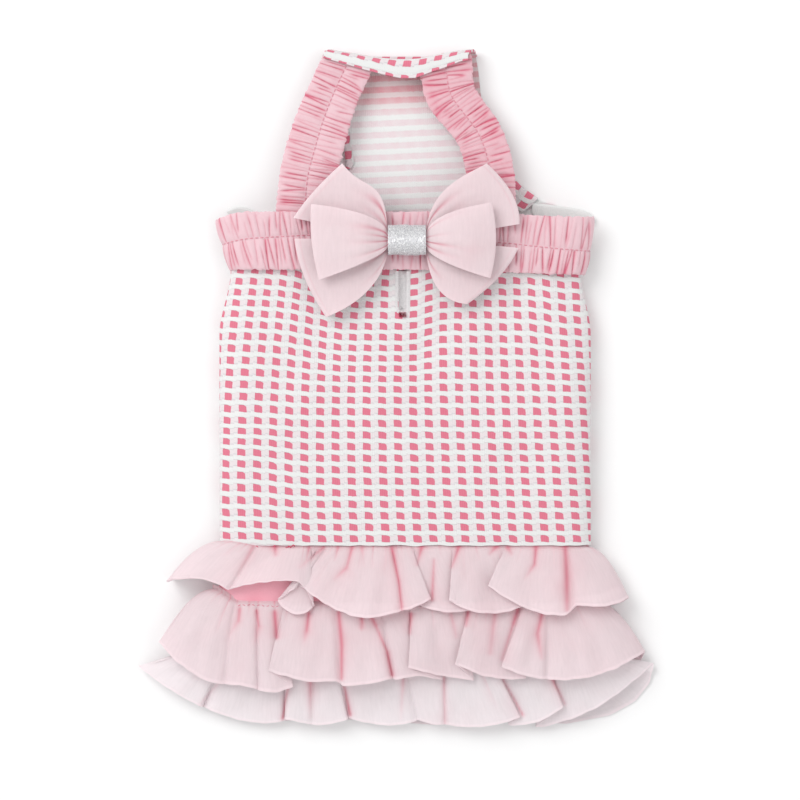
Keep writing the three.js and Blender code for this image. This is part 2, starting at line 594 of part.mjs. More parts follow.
// The ruffle's ring as a list of places: where each leaves the seam, where it ends at the hem, and how high it lies.
// end marks the places where a flute begins or ends.
function rufflePath(flutes) {
  const path = [];
  flutes.forEach((flute, i) => {
    const before = flutes[i - 1];
    const overlaps = before && Math.abs(before.hem1 - flute.hem0) > 0.03;
    const halfway = before && {
      seam: mix(before.seam1, flute.seam0, 0.5),
      hem: mix(before.hem1, flute.hem0, 0.5),
      drop: mix(before.drop1, flute.drop0, 0.5),
      arch: 0,
      back: true,
    };
    if (overlaps) path.push({ ...halfway, lift: mix(before.level1, flute.level0, 0.5), end: false });
    const places = steps(4, (t) => {
      const arch = 4 * t * (1 - t);
      return {
        seam: mix(flute.seam0, flute.seam1, t),
        hem: mix(flute.hem0, flute.hem1, t),
        drop: mix(flute.drop0, flute.drop1, t) + arch * (flute.dropMid - mix(flute.drop0, flute.drop1, 0.5)),
        lift: mix(flute.level0, flute.level1, smooth(t, 0.1, 0.7)),
        arch,
        back: true,
        end: t === 0 || t === 1,
      };
    });
    if (before && !overlaps) {
      const valley = Math.min(before.level1, flute.level0) - FLUTE_VALLEY;
      path[path.length - 1] = { ...halfway, lift: valley, end: true };
      places.shift();
    }
    path.push(...places);
  });
  const left = path[0];
  const right = path.at(-1);
  for (const row of BELLY_HEM) {
    const tipDrop = mix(left.drop, right.drop, (row.hem + 1) / 2);
    const hem = row.hem * Math.abs(row.hem > 0 ? right.hem : left.hem);
    path.push({ seam: row.seam, hem, drop: mix(tipDrop, 0.97, row.fall), lift: 0, arch: 0, back: false, end: false });
  }
  return path;
}

const growth = (share) => clamp(share, 0, 1) ** FLUTE_GROWTH;

// Height of a ruffle's lower folds at a distance down from the main seam: its own line, or what lies under it there.
function lowFold({ drop, length, seamZ, hemZ, swell, over }, down) {
  const share = (down - drop) / length;
  const own = mix(seamZ, hemZ, share) + swell * 4 * share * (1 - share);
  if (!over || down < over.drop) return own;
  const flutesBelow = (FLUTE + FLUTE_ARCH) * growth((down - over.drop) / over.length);
  return Math.max(own, lowFold(over, down) + flutesBelow + FLUTE_VALLEY * FLUTE * growth(share) + LAYER);
}

function ruffle(shape, flutes) {
  const { drop, length, waist, spread, bellyZ, landing } = shape;
  const seamY = SEAM_Y - WOVEN / 2 - GAP / 2;
  const path = rufflePath(flutes);
  const rows = path.map(({ seam, hem, drop: fall, lift, arch, back }) => {
    const seamX = BODY_X + seam * waist;
    const hemX = hem * spread;
    const wing = smooth(Math.abs(seam), WING.from, 1);
    const seamRise = rise(seam * waist, waist, back ? TOP_CORNER : BELLY_CORNER);
    const hemRise = rise(Math.abs(hemX), spread, back ? RUFFLE_CORNER : BELLY_CORNER);
    return steps(4, (t) => {
      const x = mix(seamX, hemX, t ** mix(1, WING.across, wing));
      const down = drop + fall * length * t ** mix(1, WING.down, wing);
      const edge = mix(SIDE_HEIGHT, RUFFLE_TIP_Z, t);
      const flute = (lift * FLUTE + arch * FLUTE_ARCH) * growth(t);
      const top = lowFold(shape, mix(down, drop + t * length, wing)) + flute;
      const low = mix(bellyZ, BELLY_Z, smooth(t, landing, landing + LANDING_SPAN));
      return new THREE.Vector3(x, seamY - down, mix(edge, back ? top : low, mix(seamRise, hemRise, t)));
    });
  });
  return foldedWall(rows, WOVEN, path.flatMap((place, i) => (place.end ? [i] : [])));
}

const BOW_Y = (BAND_Y + BAND_TOP_Y) / 2;
const KNOT_BASE = BAND_UNDERSIDE + BAND_THICKNESS + GAP;

// A ring of cloth round the middle of the bow.
function bowKnot() {
  const halfDepth = (KNOT_DEPTH - WOVEN) / 2;
  const halfLength = (KNOT_LENGTH - WOVEN) / 2;
  const round = 12;
  const rows = Array.from({ length: round }, (_, i) => {
    const angle = (2 * Math.PI * i) / round;
    const squared = (v) => Math.sign(v) * Math.abs(v) ** 0.6;
    const y = BOW_Y + halfLength * squared(Math.cos(angle));
    const z = KNOT_BASE + KNOT_DEPTH / 2 + halfDepth * squared(Math.sin(angle));
    return [-1, 1].map((end) => new THREE.Vector3(BOW_X + (end * KNOT_WIDTH) / 2, y, z));
  });
  return wall(rows, WOVEN, true);
}

// One loop: the front layer runs out from the knot, folds over at the outer edge and comes back as the back layer.
function bowLoop({ x0, y0, x1, y1, bulge0, bulge1, edgeBulge, layer }) {
  const side = Math.sign(x0);
  const cavity = KNOT_LENGTH / 2 - WOVEN;
  const inner = (layer ? LOOP_GRIP : y0 + y1 > 0 ? TAIL_GRIP : [...TAIL_GRIP].reverse().map((y) => -y));
  const mouthX = side * (KNOT_WIDTH / 2 + GAP);
  const startZ = KNOT_BASE + mix(WOVEN, KNOT_DEPTH - WOVEN, layer ? LOOP_START : TAIL_START);
  const endZ = KNOT_BASE + KNOT_DEPTH * (layer ? LOOP_END : TAIL_END);
  const open = layer ? LOOP_OPEN : TAIL_OPEN;
  const pointAt = (r, held, v, front) => {
    const edgeX = (mix(x0, x1, v) + side * edgeBulge * 4 * v * (1 - v)) * BOW_HALF_WIDTH;
    const edgeY = mix(y0, y1, v) * BOW_HALF_HEIGHT;
    const bulge = (v < 0.5 ? bulge0 : -bulge1) * 4 * r * (1 - r) * Math.abs(2 * v - 1) * BOW_HALF_HEIGHT;
    const x = mix(mouthX, edgeX, r) - held * side * (BOW_GRIP + GAP);
    const y = mix(mix(inner[0], inner[1], v) * cavity, edgeY, r ** 0.9) + bulge;
    const puff = Math.sin(Math.PI * r ** 0.8) * (1 - 0.6 * (2 * v - 1) ** 2) * (front > 0 ? open : open * 0.2);
    const half = WOVEN * mix(0.65, 1, r) + puff;
    return new THREE.Vector3(BOW_X + x, BOW_Y + y, mix(startZ, endZ, smooth(r, 0, 0.35)) + front * half);
  };
  const out = [[0, 1], [0, 0], [0.16, 0], [0.4, 0], [0.7, 0], [0.965, 0]];
  const back = [...out].reverse();
  const path = [...out.map((at) => [...at, 1]), [1, 0, 0], ...back.map((at) => [...at, -1])];
  return wall(path.map(([r, held, front]) => steps(4, (v) => pointAt(r, held, v, front))), WOVEN);
}

const MATERIALS = {
  knit: { color: 0xf3dfe4, roughness: 0.9 },
  gathered: { color: 0xf2b0bf, roughness: 0.85 },
  chiffon: { color: 0xf4d8de, roughness: 0.7 },
  lining: { color: 0xec93a8, roughness: 0.85 },
  glitter: { color: 0xc9ccd0, roughness: 0.35, metalness: 0.6 },
};

const dress = new THREE.Group();
function add(name, geometry, material) {
  const mesh = new THREE.Mesh(geometry, new THREE.MeshStandardMaterial(MATERIALS[material]));
  mesh.name = name;
  dress.add(mesh);
}

add('back_panel', backPanel(), 'knit');
add('belly_panel', bellyPanel(), 'knit');
add('waistband', waistband(), 'gathered');
add('strap_left', strap('left'), 'gathered');
add('strap_right', strap('right'), 'gathered');
add('underskirt', underskirt(), 'lining');
add('ruffle_top', ruffle(TOP_RUFFLE, TOP_FLUTES), 'chiffon');
add('ruffle_middle', ruffle(MIDDLE_RUFFLE, MIDDLE_FLUTES), 'chiffon');
add('ruffle_bottom', ruffle(BOTTOM_RUFFLE, BOTTOM_FLUTES), 'chiffon');
for (const loop of BOW_LOOPS) add(loop.name, bowLoop(loop), 'chiffon');
add('bow_knot', bowKnot(), 'glitter');

export default dress;
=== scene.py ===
# A small dog's dress, lying flat on its belly side. Lengths are in millimetres until a mesh is made, +X is
# to the right, +Y to the neck and +Z up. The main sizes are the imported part's, with finer folds and creases.
import math

import bpy
import numpy as np
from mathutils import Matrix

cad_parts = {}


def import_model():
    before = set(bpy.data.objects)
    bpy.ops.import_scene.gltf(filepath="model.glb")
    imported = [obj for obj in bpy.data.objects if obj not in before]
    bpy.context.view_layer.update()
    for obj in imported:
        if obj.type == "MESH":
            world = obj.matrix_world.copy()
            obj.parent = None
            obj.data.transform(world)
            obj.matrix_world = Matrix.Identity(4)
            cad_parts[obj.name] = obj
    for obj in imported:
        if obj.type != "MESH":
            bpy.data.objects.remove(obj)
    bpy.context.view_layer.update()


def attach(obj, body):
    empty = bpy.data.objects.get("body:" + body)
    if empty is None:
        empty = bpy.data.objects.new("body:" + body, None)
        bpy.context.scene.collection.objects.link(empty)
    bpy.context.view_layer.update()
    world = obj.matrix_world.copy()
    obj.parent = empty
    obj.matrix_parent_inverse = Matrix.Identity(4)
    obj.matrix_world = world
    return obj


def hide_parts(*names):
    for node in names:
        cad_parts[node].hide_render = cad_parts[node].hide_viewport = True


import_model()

MM = 0.001
UP = np.array([0, 0, 1])
THREAD_SIDES = 6

# Cloth
KNIT = 1.4
WOVEN = 1.0
GAP = 0.3
CHIFFON = 0.45
CHIFFON_HEM = 0.75
KNIT_SEEN = 1.1
HEM_SEEN = 0.8
BINDING_SEEN = 0.5
LINING_SEEN = 0.6
GLITTER_SEEN = 0.9

# Lengths along the back
STRAP_DROP = 72
BAND_HEIGHT = 26
BODY_LENGTH = 121
UNDERSKIRT_LENGTH = 48
BOTTOM_RUFFLE_LENGTH = 33
NECK_Y = 150
BAND_TOP_Y = NECK_Y - STRAP_DROP
BAND_Y = BAND_TOP_Y - BAND_HEIGHT
SEAM_Y = BAND_Y - BODY_LENGTH
SKIRT_TOP_Y = SEAM_Y - WOVEN / 2 - GAP / 2

# The body tube
BODY_WIDTH = 164
HALF_BODY = BODY_WIDTH / 2
PANEL_HALF = HALF_BODY - KNIT / 2
BODY_X = 4
SIDE_HEIGHT = 6.3
SIDE_GAP = 1
NIP_LEFT = 1.4
NIP_RIGHT = 3.2
PINCH_LEFT = 5.0  # how far the back is drawn in under the waistband, in the look alone
PINCH_RIGHT = 4.6
NIP_REACH = 28
TOP_CORNER = 14
BELLY_CORNER = 8
LOFT_AT_BAND = 12.7
LOFT_AT_MIDDLE = 14.2
LOFT_AT_SEAM = 11.9
PANEL_TUCK = 3
SLIT_LENGTH = 18.5
SLIT_WIDTH = 3.9
SLIT_X = 2.9
SLIT_LOFT_Y = 40.0  # where on the back the height of the slit's edge is taken

# Neck
NECK_WIDTH = 73
NECK_FOLD_HEIGHT = 11.6
NECK_FOLD_DEPTH = 2.2
NECK_DIP = 4.4
HEM_ROW = 1.8  # the lowest row of the neck strip's check, cut short by the hem
PALE_BAND = 2.6  # the wide pale band over it
NECK_SEAM = 0.72  # where the hem's seam dents the strip, as a share of its reach
NECK_SEAM_DENT = 0.25

# Straps and waistband
STRAP_WIDTH = 26
STRAP_THICKNESS = 2.6
STRAP_TUCK = 4
STRAP_SLANT = 0.2
STRAP_TURN = 14
STRAP_GATHER = 1.7
BAND_THICKNESS = 3.4
BAND_EASE = 0.5
BAND_GATHER = 2.3
BAND_LEAN_LEFT = 6.4
BAND_LEAN_RIGHT = 4.2
BAND_HANG = 2.0
BAND_CORNER_X = -65
BAND_CORNER = 16
BAND_CORNER_FALL = 4.2
BAND_CREASE = 1.0  # how deep the gathers are
STRAP_CREASE = 0.75
STRAP_PAINTED_SHADE = {"left": 0.08, "right": 0.26}  # how much painted shade each strap has over the waistband's, most on the right strap, which lies away from the light
CASING_STITCH = {"long": 1.5, "space": 0.8, "radius": 0.2, "over_cloth": 0.16}

# Skirt
LAYER = WOVEN + GAP
INSIDE_EASE = 0.5
OUTSIDE_EASE = 1.7
UNDERSKIRT_FLARE = 2.2
UNDERSKIRT_TOP = LOFT_AT_SEAM - 1.1
UNDERSKIRT_TOP_END = 9.5
UNDERSKIRT_HALF = HALF_BODY - WOVEN / 2 - LAYER - INSIDE_EASE
TOP_RUFFLE_LENGTH = 30
MIDDLE_RUFFLE_LENGTH = 40
TOP_RUFFLE_WIDTH = 206
MIDDLE_RUFFLE_WIDTH = 220
BOTTOM_RUFFLE_WIDTH = 228
BELLY_Z = WOVEN / 2
RUFFLE_TIP_Z = 2.4
RUFFLE_CORNER = 16
FLUTE = 3.2
FLUTE_ARCH = 0.9
FLUTE_VALLEY = 0.5
FLUTE_GROWTH = 0.6
WING = {"from": 0.8, "across_left": 0.58, "across_right": 0.7, "down": 1.25}
TUCK = 0.05  # how far a ruffle starts above its seam, as a share of its length
TOP_LEFT_FALL = -0.25  # the top ruffle's belly side is drawn up at its left end
FLUTE_OVERLAP = 0.03  # flutes whose hems are further apart than this fold back under one another
FLUTE_EDGE = 0.06  # how much of a flute its valleys take up
GATHER_SPACE = 7.5
RUFFLE_STEP = 0.85  # millimetres between the columns of a ruffle's mesh
TUCK_DEPTH = 1.7
SHOULDER_RISE = 1.5
LANDING_SPAN = 0.3
LANDING_EASE = 0.18
MIDDLE_LANDING_EASE = 0.09

BOTTOM_RUFFLE = {
    "drop": UNDERSKIRT_LENGTH,
    "length": BOTTOM_RUFFLE_LENGTH,
    "waist": UNDERSKIRT_HALF + UNDERSKIRT_FLARE + LAYER + OUTSIDE_EASE,
    "spread": BOTTOM_RUFFLE_WIDTH / 2,
    "seam_z": UNDERSKIRT_TOP_END + LAYER,
    "hem_z": BELLY_Z + LAYER + FLUTE_VALLEY * FLUTE,
    "swell": 0,
    "belly_z": BELLY_Z + LAYER,
    "landing": (MIDDLE_RUFFLE_LENGTH - UNDERSKIRT_LENGTH / 2) / BOTTOM_RUFFLE_LENGTH + LANDING_EASE,
    "over": None,
    "shoulder": 3,
    "shoulder_end": -0.9,
}
MIDDLE_RUFFLE = {
    "drop": UNDERSKIRT_LENGTH / 2,
    "length": MIDDLE_RUFFLE_LENGTH,
    "waist": UNDERSKIRT_HALF + UNDERSKIRT_FLARE + LAYER + OUTSIDE_EASE,
    "spread": MIDDLE_RUFFLE_WIDTH / 2,
    "seam_z": (UNDERSKIRT_TOP + UNDERSKIRT_TOP_END) / 2 + LAYER,
    "hem_z": UNDERSKIRT_TOP_END + 2 * LAYER,
    "swell": 2,
    "belly_z": BELLY_Z + LAYER,
    "landing": (TOP_RUFFLE_LENGTH - UNDERSKIRT_LENGTH / 2) / MIDDLE_RUFFLE_LENGTH + MIDDLE_LANDING_EASE,
    "over": BOTTOM_RUFFLE,
    "shoulder": 5.5,
    "shoulder_end": -0.86,
}
TOP_RUFFLE = {
    "drop": 0,
    "length": TOP_RUFFLE_LENGTH,
    "waist": HALF_BODY - WOVEN / 2,
    "spread": TOP_RUFFLE_WIDTH / 2,
    "seam_z": UNDERSKIRT_TOP + LAYER,
    "hem_z": UNDERSKIRT_TOP + 3 * LAYER,
    "swell": 0,
    "belly_z": BELLY_Z,
    "landing": 0,
    "over": MIDDLE_RUFFLE,
    "shoulder": 2.6,
    "shoulder_end": -0.7,
}

# The bow
BOW_X = 4.8
BOW_Y = (BAND_Y + BAND_TOP_Y) / 2
KNOT_WIDTH = 16.5
KNOT_LENGTH = 13.2
KNOT_DEPTH = 9.4
BOW_HALF_WIDTH = 49.5
BOW_HALF_HEIGHT = 33.5
BOW_GRIP = 3.5
LOOP_GRIP = (0.57, -0.57)
TAIL_GRIP = (0.71, 0.14)
LOOP_START = 0.74
TAIL_START = 0.27
LOOP_END = 0.94
TAIL_END = 0.27
LOOP_OPEN = 2.6
TAIL_OPEN = 1.2
LOOP_FOLD = 0.93  # where a loop starts to turn over at its outer edge, as a share of the way out
LOOP_FOLD_ANGLE = 1.196  # and about the angle whose sine that share is
PLEAT_DEPTH = 1.44
BOW_SEAM = 2.3  # how far in from the edge the back layer's seam shows
BAND_UNDERSIDE = LOFT_AT_BAND + GAP
KNOT_BASE = BAND_UNDERSIDE + BAND_THICKNESS + GAP
STRAP_END_Z = LOFT_AT_BAND - STRAP_THICKNESS / 2
STRAP_START_Z = NECK_FOLD_HEIGHT - KNIT - GAP - STRAP_THICKNESS / 2


def table(columns, rows):
    """A table as a dict of columns."""
    return {name: np.array([row[i] for row in rows]) for i, name in enumerate(columns)}


def rows_of(columns, rows):
    """A table as a list of dicts, one for each row."""
    return [dict(zip(columns, row)) for row in rows]


# Flutes from left to right: seam as shares of half the seam, hem as shares of the spread, drop as shares
# of the length, and level from 0, under its neighbours, to 1, over them.
FLUTE_COLUMNS = ("seam0", "seam1", "hem0", "hem1", "drop0", "drop_mid", "drop1", "level0", "level1")
TOP_FLUTES = rows_of(FLUTE_COLUMNS, (
    (-1.0, -0.8, -0.985, -0.71, 0.5, 0.45, 0.62, 0.35, 0.45),
    (-0.8, -0.55, -0.71, -0.42, 0.6, 0.5, 0.48, 0.45, 1.0),
    (-0.53, -0.51, -0.385, -0.35, 0.6, 0.72, 0.84, 0.9, 0.6),
    (-0.5, -0.47, -0.352, -0.507, 0.86, 0.97, 0.77, 0.0, 0.0),
    (-0.45, -0.43, -0.5, -0.42, 0.75, 0.66, 0.55, 0.5, 0.6),
    (-0.41, -0.06, -0.41, 0.02, 0.53, 0.97, 0.91, 1.0, 1.0),
    (-0.05, 0.03, 0.03, 0.155, 0.91, 0.84, 0.73, 0.9, 1.0),
    (0.05, 0.24, 0.1, 0.33, 0.85, 0.94, 0.89, 0.0, 0.0),
    (0.26, 0.51, 0.22, 0.545, 0.76, 0.95, 0.85, 1.0, 0.0),
    (0.54, 0.87, 0.385, 0.745, 0.53, 0.89, 0.98, 1.0, 1.0),
    (0.88, 1.0, 0.755, 1.0, 0.81, 0.85, 0.73, 0.9, 0.3),
))
MIDDLE_FLUTES = rows_of(FLUTE_COLUMNS, (
    (-1.0, -0.88, -0.95, -0.69, 0.43, 0.76, 0.9, 0.4, 0.3),
    (-0.88, -0.77, -0.68, -0.555, 0.9, 0.91, 0.96, 0.3, 0.3),
    (-0.77, -0.64, -0.55, -0.405, 0.96, 0.98, 0.92, 0.3, 0.0),
    (-0.62, -0.37, -0.515, -0.225, 0.73, 0.85, 0.85, 1.0, 1.0),
    (-0.36, -0.14, -0.215, -0.015, 0.92, 0.89, 0.83, 1.0, 0.9),
    (-0.13, 0.0, -0.01, 0.19, 0.85, 0.81, 0.86, 0.5, 0.0),
    (0.03, 0.3, 0.045, 0.315, 0.7, 0.8, 0.86, 1.0, 0.0),
    (0.34, 0.58, 0.23, 0.525, 0.65, 0.82, 0.83, 1.0, 0.0),
    (0.62, 0.73, 0.415, 0.595, 0.69, 0.79, 0.84, 1.0, 0.9),
    (0.74, 1.0, 0.605, 1.0, 0.84, 0.79, 0.54, 0.9, 0.4),
))
BOTTOM_FLUTES = rows_of(FLUTE_COLUMNS, (
    (-1.0, -0.91, -1.0, -0.74, 0.13, 0.46, 0.7, 0.4, 0.9),
    (-0.89, -0.64, -0.755, -0.42, 0.66, 0.87, 0.88, 0.2, 0.1),
    (-0.62, -0.49, -0.435, -0.33, 0.85, 0.87, 0.92, 1.0, 0.7),
    (-0.48, -0.37, -0.32, -0.18, 0.92, 0.91, 0.83, 0.8, 1.0),
    (-0.34, -0.03, -0.2, 0.075, 0.8, 0.92, 0.87, 0.1, 0.4),
    (-0.02, 0.19, 0.085, 0.185, 0.85, 0.91, 0.92, 0.6, 0.7),
    (0.2, 0.44, 0.195, 0.485, 0.91, 0.94, 0.8, 0.8, 1.0),
    (0.47, 0.72, 0.43, 0.65, 0.93, 0.88, 0.66, 0.1, 1.0),
    (0.74, 1.0, 0.535, 1.0, 0.97, 0.7, 0.09, 0.0, 0.4),
))
# The ruffles' hidden belly side, from the right tip back to the left one.
BELLY_HEM = rows_of(("seam", "hem", "fall"), (
    (0.97, 0.985, 0.32),
    (0.9, 0.93, 0.6),
    (0.75, 0.83, 0.82),
    (0.52, 0.66, 0.95),
    (0.28, 0.4, 0.88),
    (0.04, 0.16, 0.97),
    (-0.22, -0.12, 0.88),
    (-0.5, -0.46, 0.9),
    (-0.74, -0.7, 0.6),
    (-0.9, -0.88, 0.33),
    (-0.97, -0.97, 0.12),
))
# Valleys between the folds of the ruffles, dented into the cloth and with painted shade: each runs from x0, y0
# to x1, y1 in photo pixels, with its strength at both ends and how wide it is in pixels.
VALLEY_COLUMNS = ("x0", "y0", "x1", "y1", "deep0", "deep1", "wide")
VALLEYS = {
    "ruffle_top": rows_of(VALLEY_COLUMNS, (
        (253, 549, 238, 574, 0.5, 0.2, 2.2),
        (275, 546, 276, 554, 1.0, 0.5, 2.6),
        (309, 548, 306, 564, 0.6, 0.2, 1.8),
        (323, 548, 301, 566, 0.6, 0.2, 2.2),
        (338, 548, 335, 559, 0.7, 0.3, 1.6),
        (352, 548, 347, 567, 0.8, 0.6, 1.6),
        (347, 567, 335, 578, 0.6, 0.2, 2.4),
        (362, 548, 364, 565, 0.5, 0.1, 1.8),
        (392, 549, 399, 581, 0.9, 0.9, 1.6),
        (399, 581, 402, 608, 0.9, 0.7, 1.6),
        (422, 546, 417, 564, 0.9, 0.4, 2.0),
        (434, 560, 432, 598, 0.5, 0.8, 1.5),
        (459, 546, 452, 566, 0.9, 0.4, 1.8),
        (497, 546, 490, 553, 0.8, 0.4, 2.0),
        (508, 548, 511, 553, 0.8, 0.4, 2.0),
        (536, 546, 534, 564, 0.9, 0.8, 2.0),
        (534, 564, 525, 577, 0.7, 0.2, 2.4),
        (565, 546, 566, 578, 0.8, 0.8, 3.0),
        (566, 578, 566, 609, 0.8, 0.5, 3.0),
    )),
    "ruffle_middle": rows_of(VALLEY_COLUMNS, (
        (240, 609, 239, 620, 0.8, 0.7, 1.8),
        (239, 620, 226, 641, 0.5, 0.1, 3.0),
        (257, 611, 259, 625, 0.9, 0.7, 1.7),
        (259, 625, 255, 645, 0.6, 0.1, 3.0),
        (275, 612, 277, 636, 1.0, 0.8, 2.0),
        (309, 613, 307, 630, 0.9, 0.7, 1.8),
        (307, 630, 304, 642, 0.6, 0.1, 2.6),
        (339, 612, 342, 644, 0.9, 0.9, 2.0),
        (342, 644, 342, 677, 0.9, 0.7, 1.9),
        (362, 614, 362, 627, 0.9, 0.5, 2.0),
        (369, 612, 376, 625, 0.9, 0.8, 1.8),
        (376, 625, 387, 651, 0.6, 0.8, 1.4),
        (387, 651, 392, 674, 0.9, 0.9, 1.8),
        (411, 614, 410, 632, 0.9, 0.5, 1.8),
        (468, 612, 466, 624, 0.9, 0.5, 1.8),
        (451, 614, 456, 636, 0.5, 0.3, 2.4),
        (495, 610, 490, 652, 0.6, 0.3, 3.4),
        (518, 609, 513, 624, 0.9, 0.8, 2.2),
        (513, 624, 502, 658, 0.7, 0.4, 1.8),
        (542, 612, 537, 633, 0.9, 0.7, 2.4),
        (537, 633, 541, 657, 0.7, 0.3, 2.6),
    )),
    "ruffle_bottom": rows_of(VALLEY_COLUMNS, (
        (219, 683, 198, 706, 0.3, 0.2, 1.4),
        (289, 684, 282, 719, 0.5, 0.8, 1.3),
        (310, 680, 310, 718, 0.6, 0.2, 2.8),
        (344, 685, 350, 715, 0.6, 0.9, 1.3),
        (403, 680, 401, 720, 0.5, 0.2, 2.4),
        (444, 678, 445, 724, 0.6, 0.3, 1.8),
        (503, 680, 523, 715, 0.5, 0.7, 1.4),
        (552, 678, 565, 704, 0.8, 0.4, 1.4),
    )),
}
# Creases in the back panel: across as shares of half the body's width, down as shares of BODY_LENGTH, and
# depth and width as shares of KNIT.
CREASES = rows_of(("across0", "down0", "across1", "down1", "depth", "width"), (
    (0.36, 0.08, 0.04, 0.34, 0.7, 4.5),
    (0.62, 0.03, 0.5, 0.3, 0.5, 4),
    (0.88, 0.02, 0.97, 0.3, 0.8, 4),
    (-0.55, 0.05, -0.3, 0.5, 0.35, 6),
    (-0.1, 0.62, 0.7, 0.7, 0.3, 6),
))
# The belly panel above the waistband: down as shares of STRAP_DROP, edges as shares of half the body's width
ARMHOLES = table(("down", "left", "right"), (
    (0.0, -0.418, 0.394),
    (0.13, -0.4, 0.415),
    (0.26, -0.39, 0.427),
    (0.5, -0.34, 0.465),
    (0.71, -0.315, 0.54),
    (0.83, -0.36, 0.62),
    (0.905, -0.41, 0.71),
    (0.94, -0.46, 0.8),
    (0.965, -0.53, 0.9),
    (0.99, -0.65, 0.975),
    (1.03, -0.93, 0.985),
    (1.08, -1.0, 1.0),
))
# The straps' middle lines: across as a share of half the neck's width, width as a share of STRAP_WIDTH.
STRAP_ROUTES = {
    "left": table(("down", "across", "width"), (
        (0.045, -0.65, 0.92),
        (0.25, -0.84, 0.88),
        (0.43, -0.98, 0.94),
        (0.6, -1.08, 0.98),
        (0.78, -1.17, 0.97),
        (1.0, -1.21, 1.0),
    )),
    "right": table(("down", "across", "width"), (
        (0.07, 0.48, 0.94),
        (0.28, 0.55, 0.86),
        (0.4, 0.71, 0.8),
        (0.51, 0.87, 0.8),
        (0.65, 0.98, 0.82),
        (0.81, 1.03, 0.85),
        (1.0, 1.03, 0.87),
    )),
}
# Each loop's outer edge runs from x0, y0 to x1, y1, as shares of the bow's half width and height. bulge0 and
# bulge1 are how far its two long edges bow out, and fade is how fast they straighten towards the outer edge.
BOW_LOOPS = rows_of(("name", "x0", "y0", "x1", "y1", "bulge0", "bulge1", "fade", "edge_bulge", "layer"), (
    ("bow_tail_upper_left", -0.57, 1.0, -1.0, 0.29, 0.37, 0.02, 1.0, 0.03, 0),
    ("bow_tail_lower_left", -0.99, 0.02, -0.71, -1.0, 0.02, 0.22, 0.0, 0.05, 0),
    ("bow_tail_upper_right", 0.7, 1.0, 0.99, 0.21, 0.25, 0.02, 0.2, 0.08, 0),
    ("bow_tail_lower_right", 0.98, -0.1, 0.53, -0.83, 0.02, 0.28, 0.0, 0.06, 0),
    ("bow_loop_left", -0.84, 0.46, -0.77, -0.52, 0.1, 0.04, 0.0, 0.03, 1),
    ("bow_loop_right", 0.74, 0.48, 0.73, -0.5, 0.1, 0.06, 0.0, 0.045, 1),
))

# The check: column and row pitch in photo pixels, read at three heights of the body
PIXEL = 0.44  # millimetres
PIXEL_X = 396  # the pixel over X 0
PIXEL_Y = 389  # and over Y 0
COLUMN_HEIGHTS = (277, 384, 538)
FIRST_COLUMN = (240, 229.3, 226.8)
COLUMN_PITCH = (14.55, 15.3, 15.9)
LAST_ROW = 538.5
ROW_PITCH = 11.5
UPPER_ROW = 10  # rows above this one are wider
UPPER_PITCH = 12.03
# How far rows are pulled down, in pixels: growing from y0 to y1 and x0 to x1, and fading from y2 to y3 and
# x2 to x3
CHECK_PULLS = rows_of(("down", "y0", "y1", "y2", "y3", "x0", "x1", "x2", "x3"), (
    (11, 0, 1, 322, 415, 275, 355, 404, 448),
    (-3, 0, 1, 900, 901, 0, 1, 245, 315),
    (-3, 415, 455, 470, 520, 0, 1, 245, 315),
    (4.8, 0, 1, 330, 410, 520, 570, 900, 901),
    (6.2, 0, 1, 262, 340, 0, 1, 405, 480),
    (2.4, 0, 1, 262, 315, 405, 480, 900, 901),
))
NECK_COLUMN = 6.8  # millimetres
NECK_COLUMN_X = -1.8
NECK_ROW = 5.0
NECK_TILT = 0.048  # how far the inside stripes rise to the right
NECK_COLUMN_LEAN = 0.2
NECK_SHADE_HEIGHTS = (120, 131)  # painted shade on the inside grows between these heights, towards the neck strip above it
# How far the waistband's middle stitches run above its middle
BAND_MIDDLE = table(("x", "rise"), (
    (-84, 0.0),
    (-60, 1.4),
    (-40, 2.4),
    (0, 1.0),
    (52, -0.2),
    (84, -2.3),
))
# The neck strip's ends: through is 0 where the fold starts, 0.5 at its crest and 1 where the strip lies flat
NECK_ENDS = table(("through", "left", "right"), (
    (0.0, -30.0, 36.0),
    (0.5, -28.7, 34.5),
    (1.0, -31.9, 31.7),
))
# The neck strip from left to right: how low its fold runs, as a share of NECK_DIP, and how far it reaches
NECK_LINE = table(("across", "dip", "reach"), (
    (-1.0, 0.0, 3.6),
    (-0.757, 0.3, 4.5),
    (-0.66, 0.4, 4.9),
    (-0.546, 0.57, 5.25),
    (-0.436, 0.71, 5.7),
    (-0.347, 0.79, 6.0),
    (-0.137, 0.95, 7.1),
    (0.07, 1.0, 8.2),
    (0.27, 0.9, 8.5),
    (0.48, 0.56, 7.5),
    (0.686, 0.25, 6.7),
    (0.89, 0.03, 5.1),
    (1.0, 0.0, 4.6),
))
# The small bump of the belly panel over the waistband's left end: across and down, in the units of ARMHOLES
LEFT_ROLL = (-0.9 - 0.07 * np.linspace(-1, 1, 24), 0.968 + 0.026 * np.linspace(-1, 1, 24) ** 2)
# The rolled edge over the waistband's right end, from left to right in photo pixels
RIGHT_ROLL = ((532, 202.5), (548, 204), (564, 206), (579, 208.5), (590, 212), (596, 219))
# The slit's edge turned under: how far in from the edge and how high over the cloth's middle
SLIT_TURN = table(("inward", "up"), (
    (-1.3, 0.62),
    (-0.4, 0.82),
    (0.05, 0.6),
    (0.2, -0.2),
    (0.55, -1.1),
    (1.2, -1.5),
    (1.94, -1.6),
))
# The bar of stitches at the slit's end: half its width, how far below the slit, and its zigzag
SLIT_BAR = {"half": 1.7, "below": 1.2, "above_cloth": 1.3, "zigzag": 1.1, "turns": 32, "points": 120}
BAR_STITCH = {"long": 1.3, "space": 0.02, "radius": 0.32}
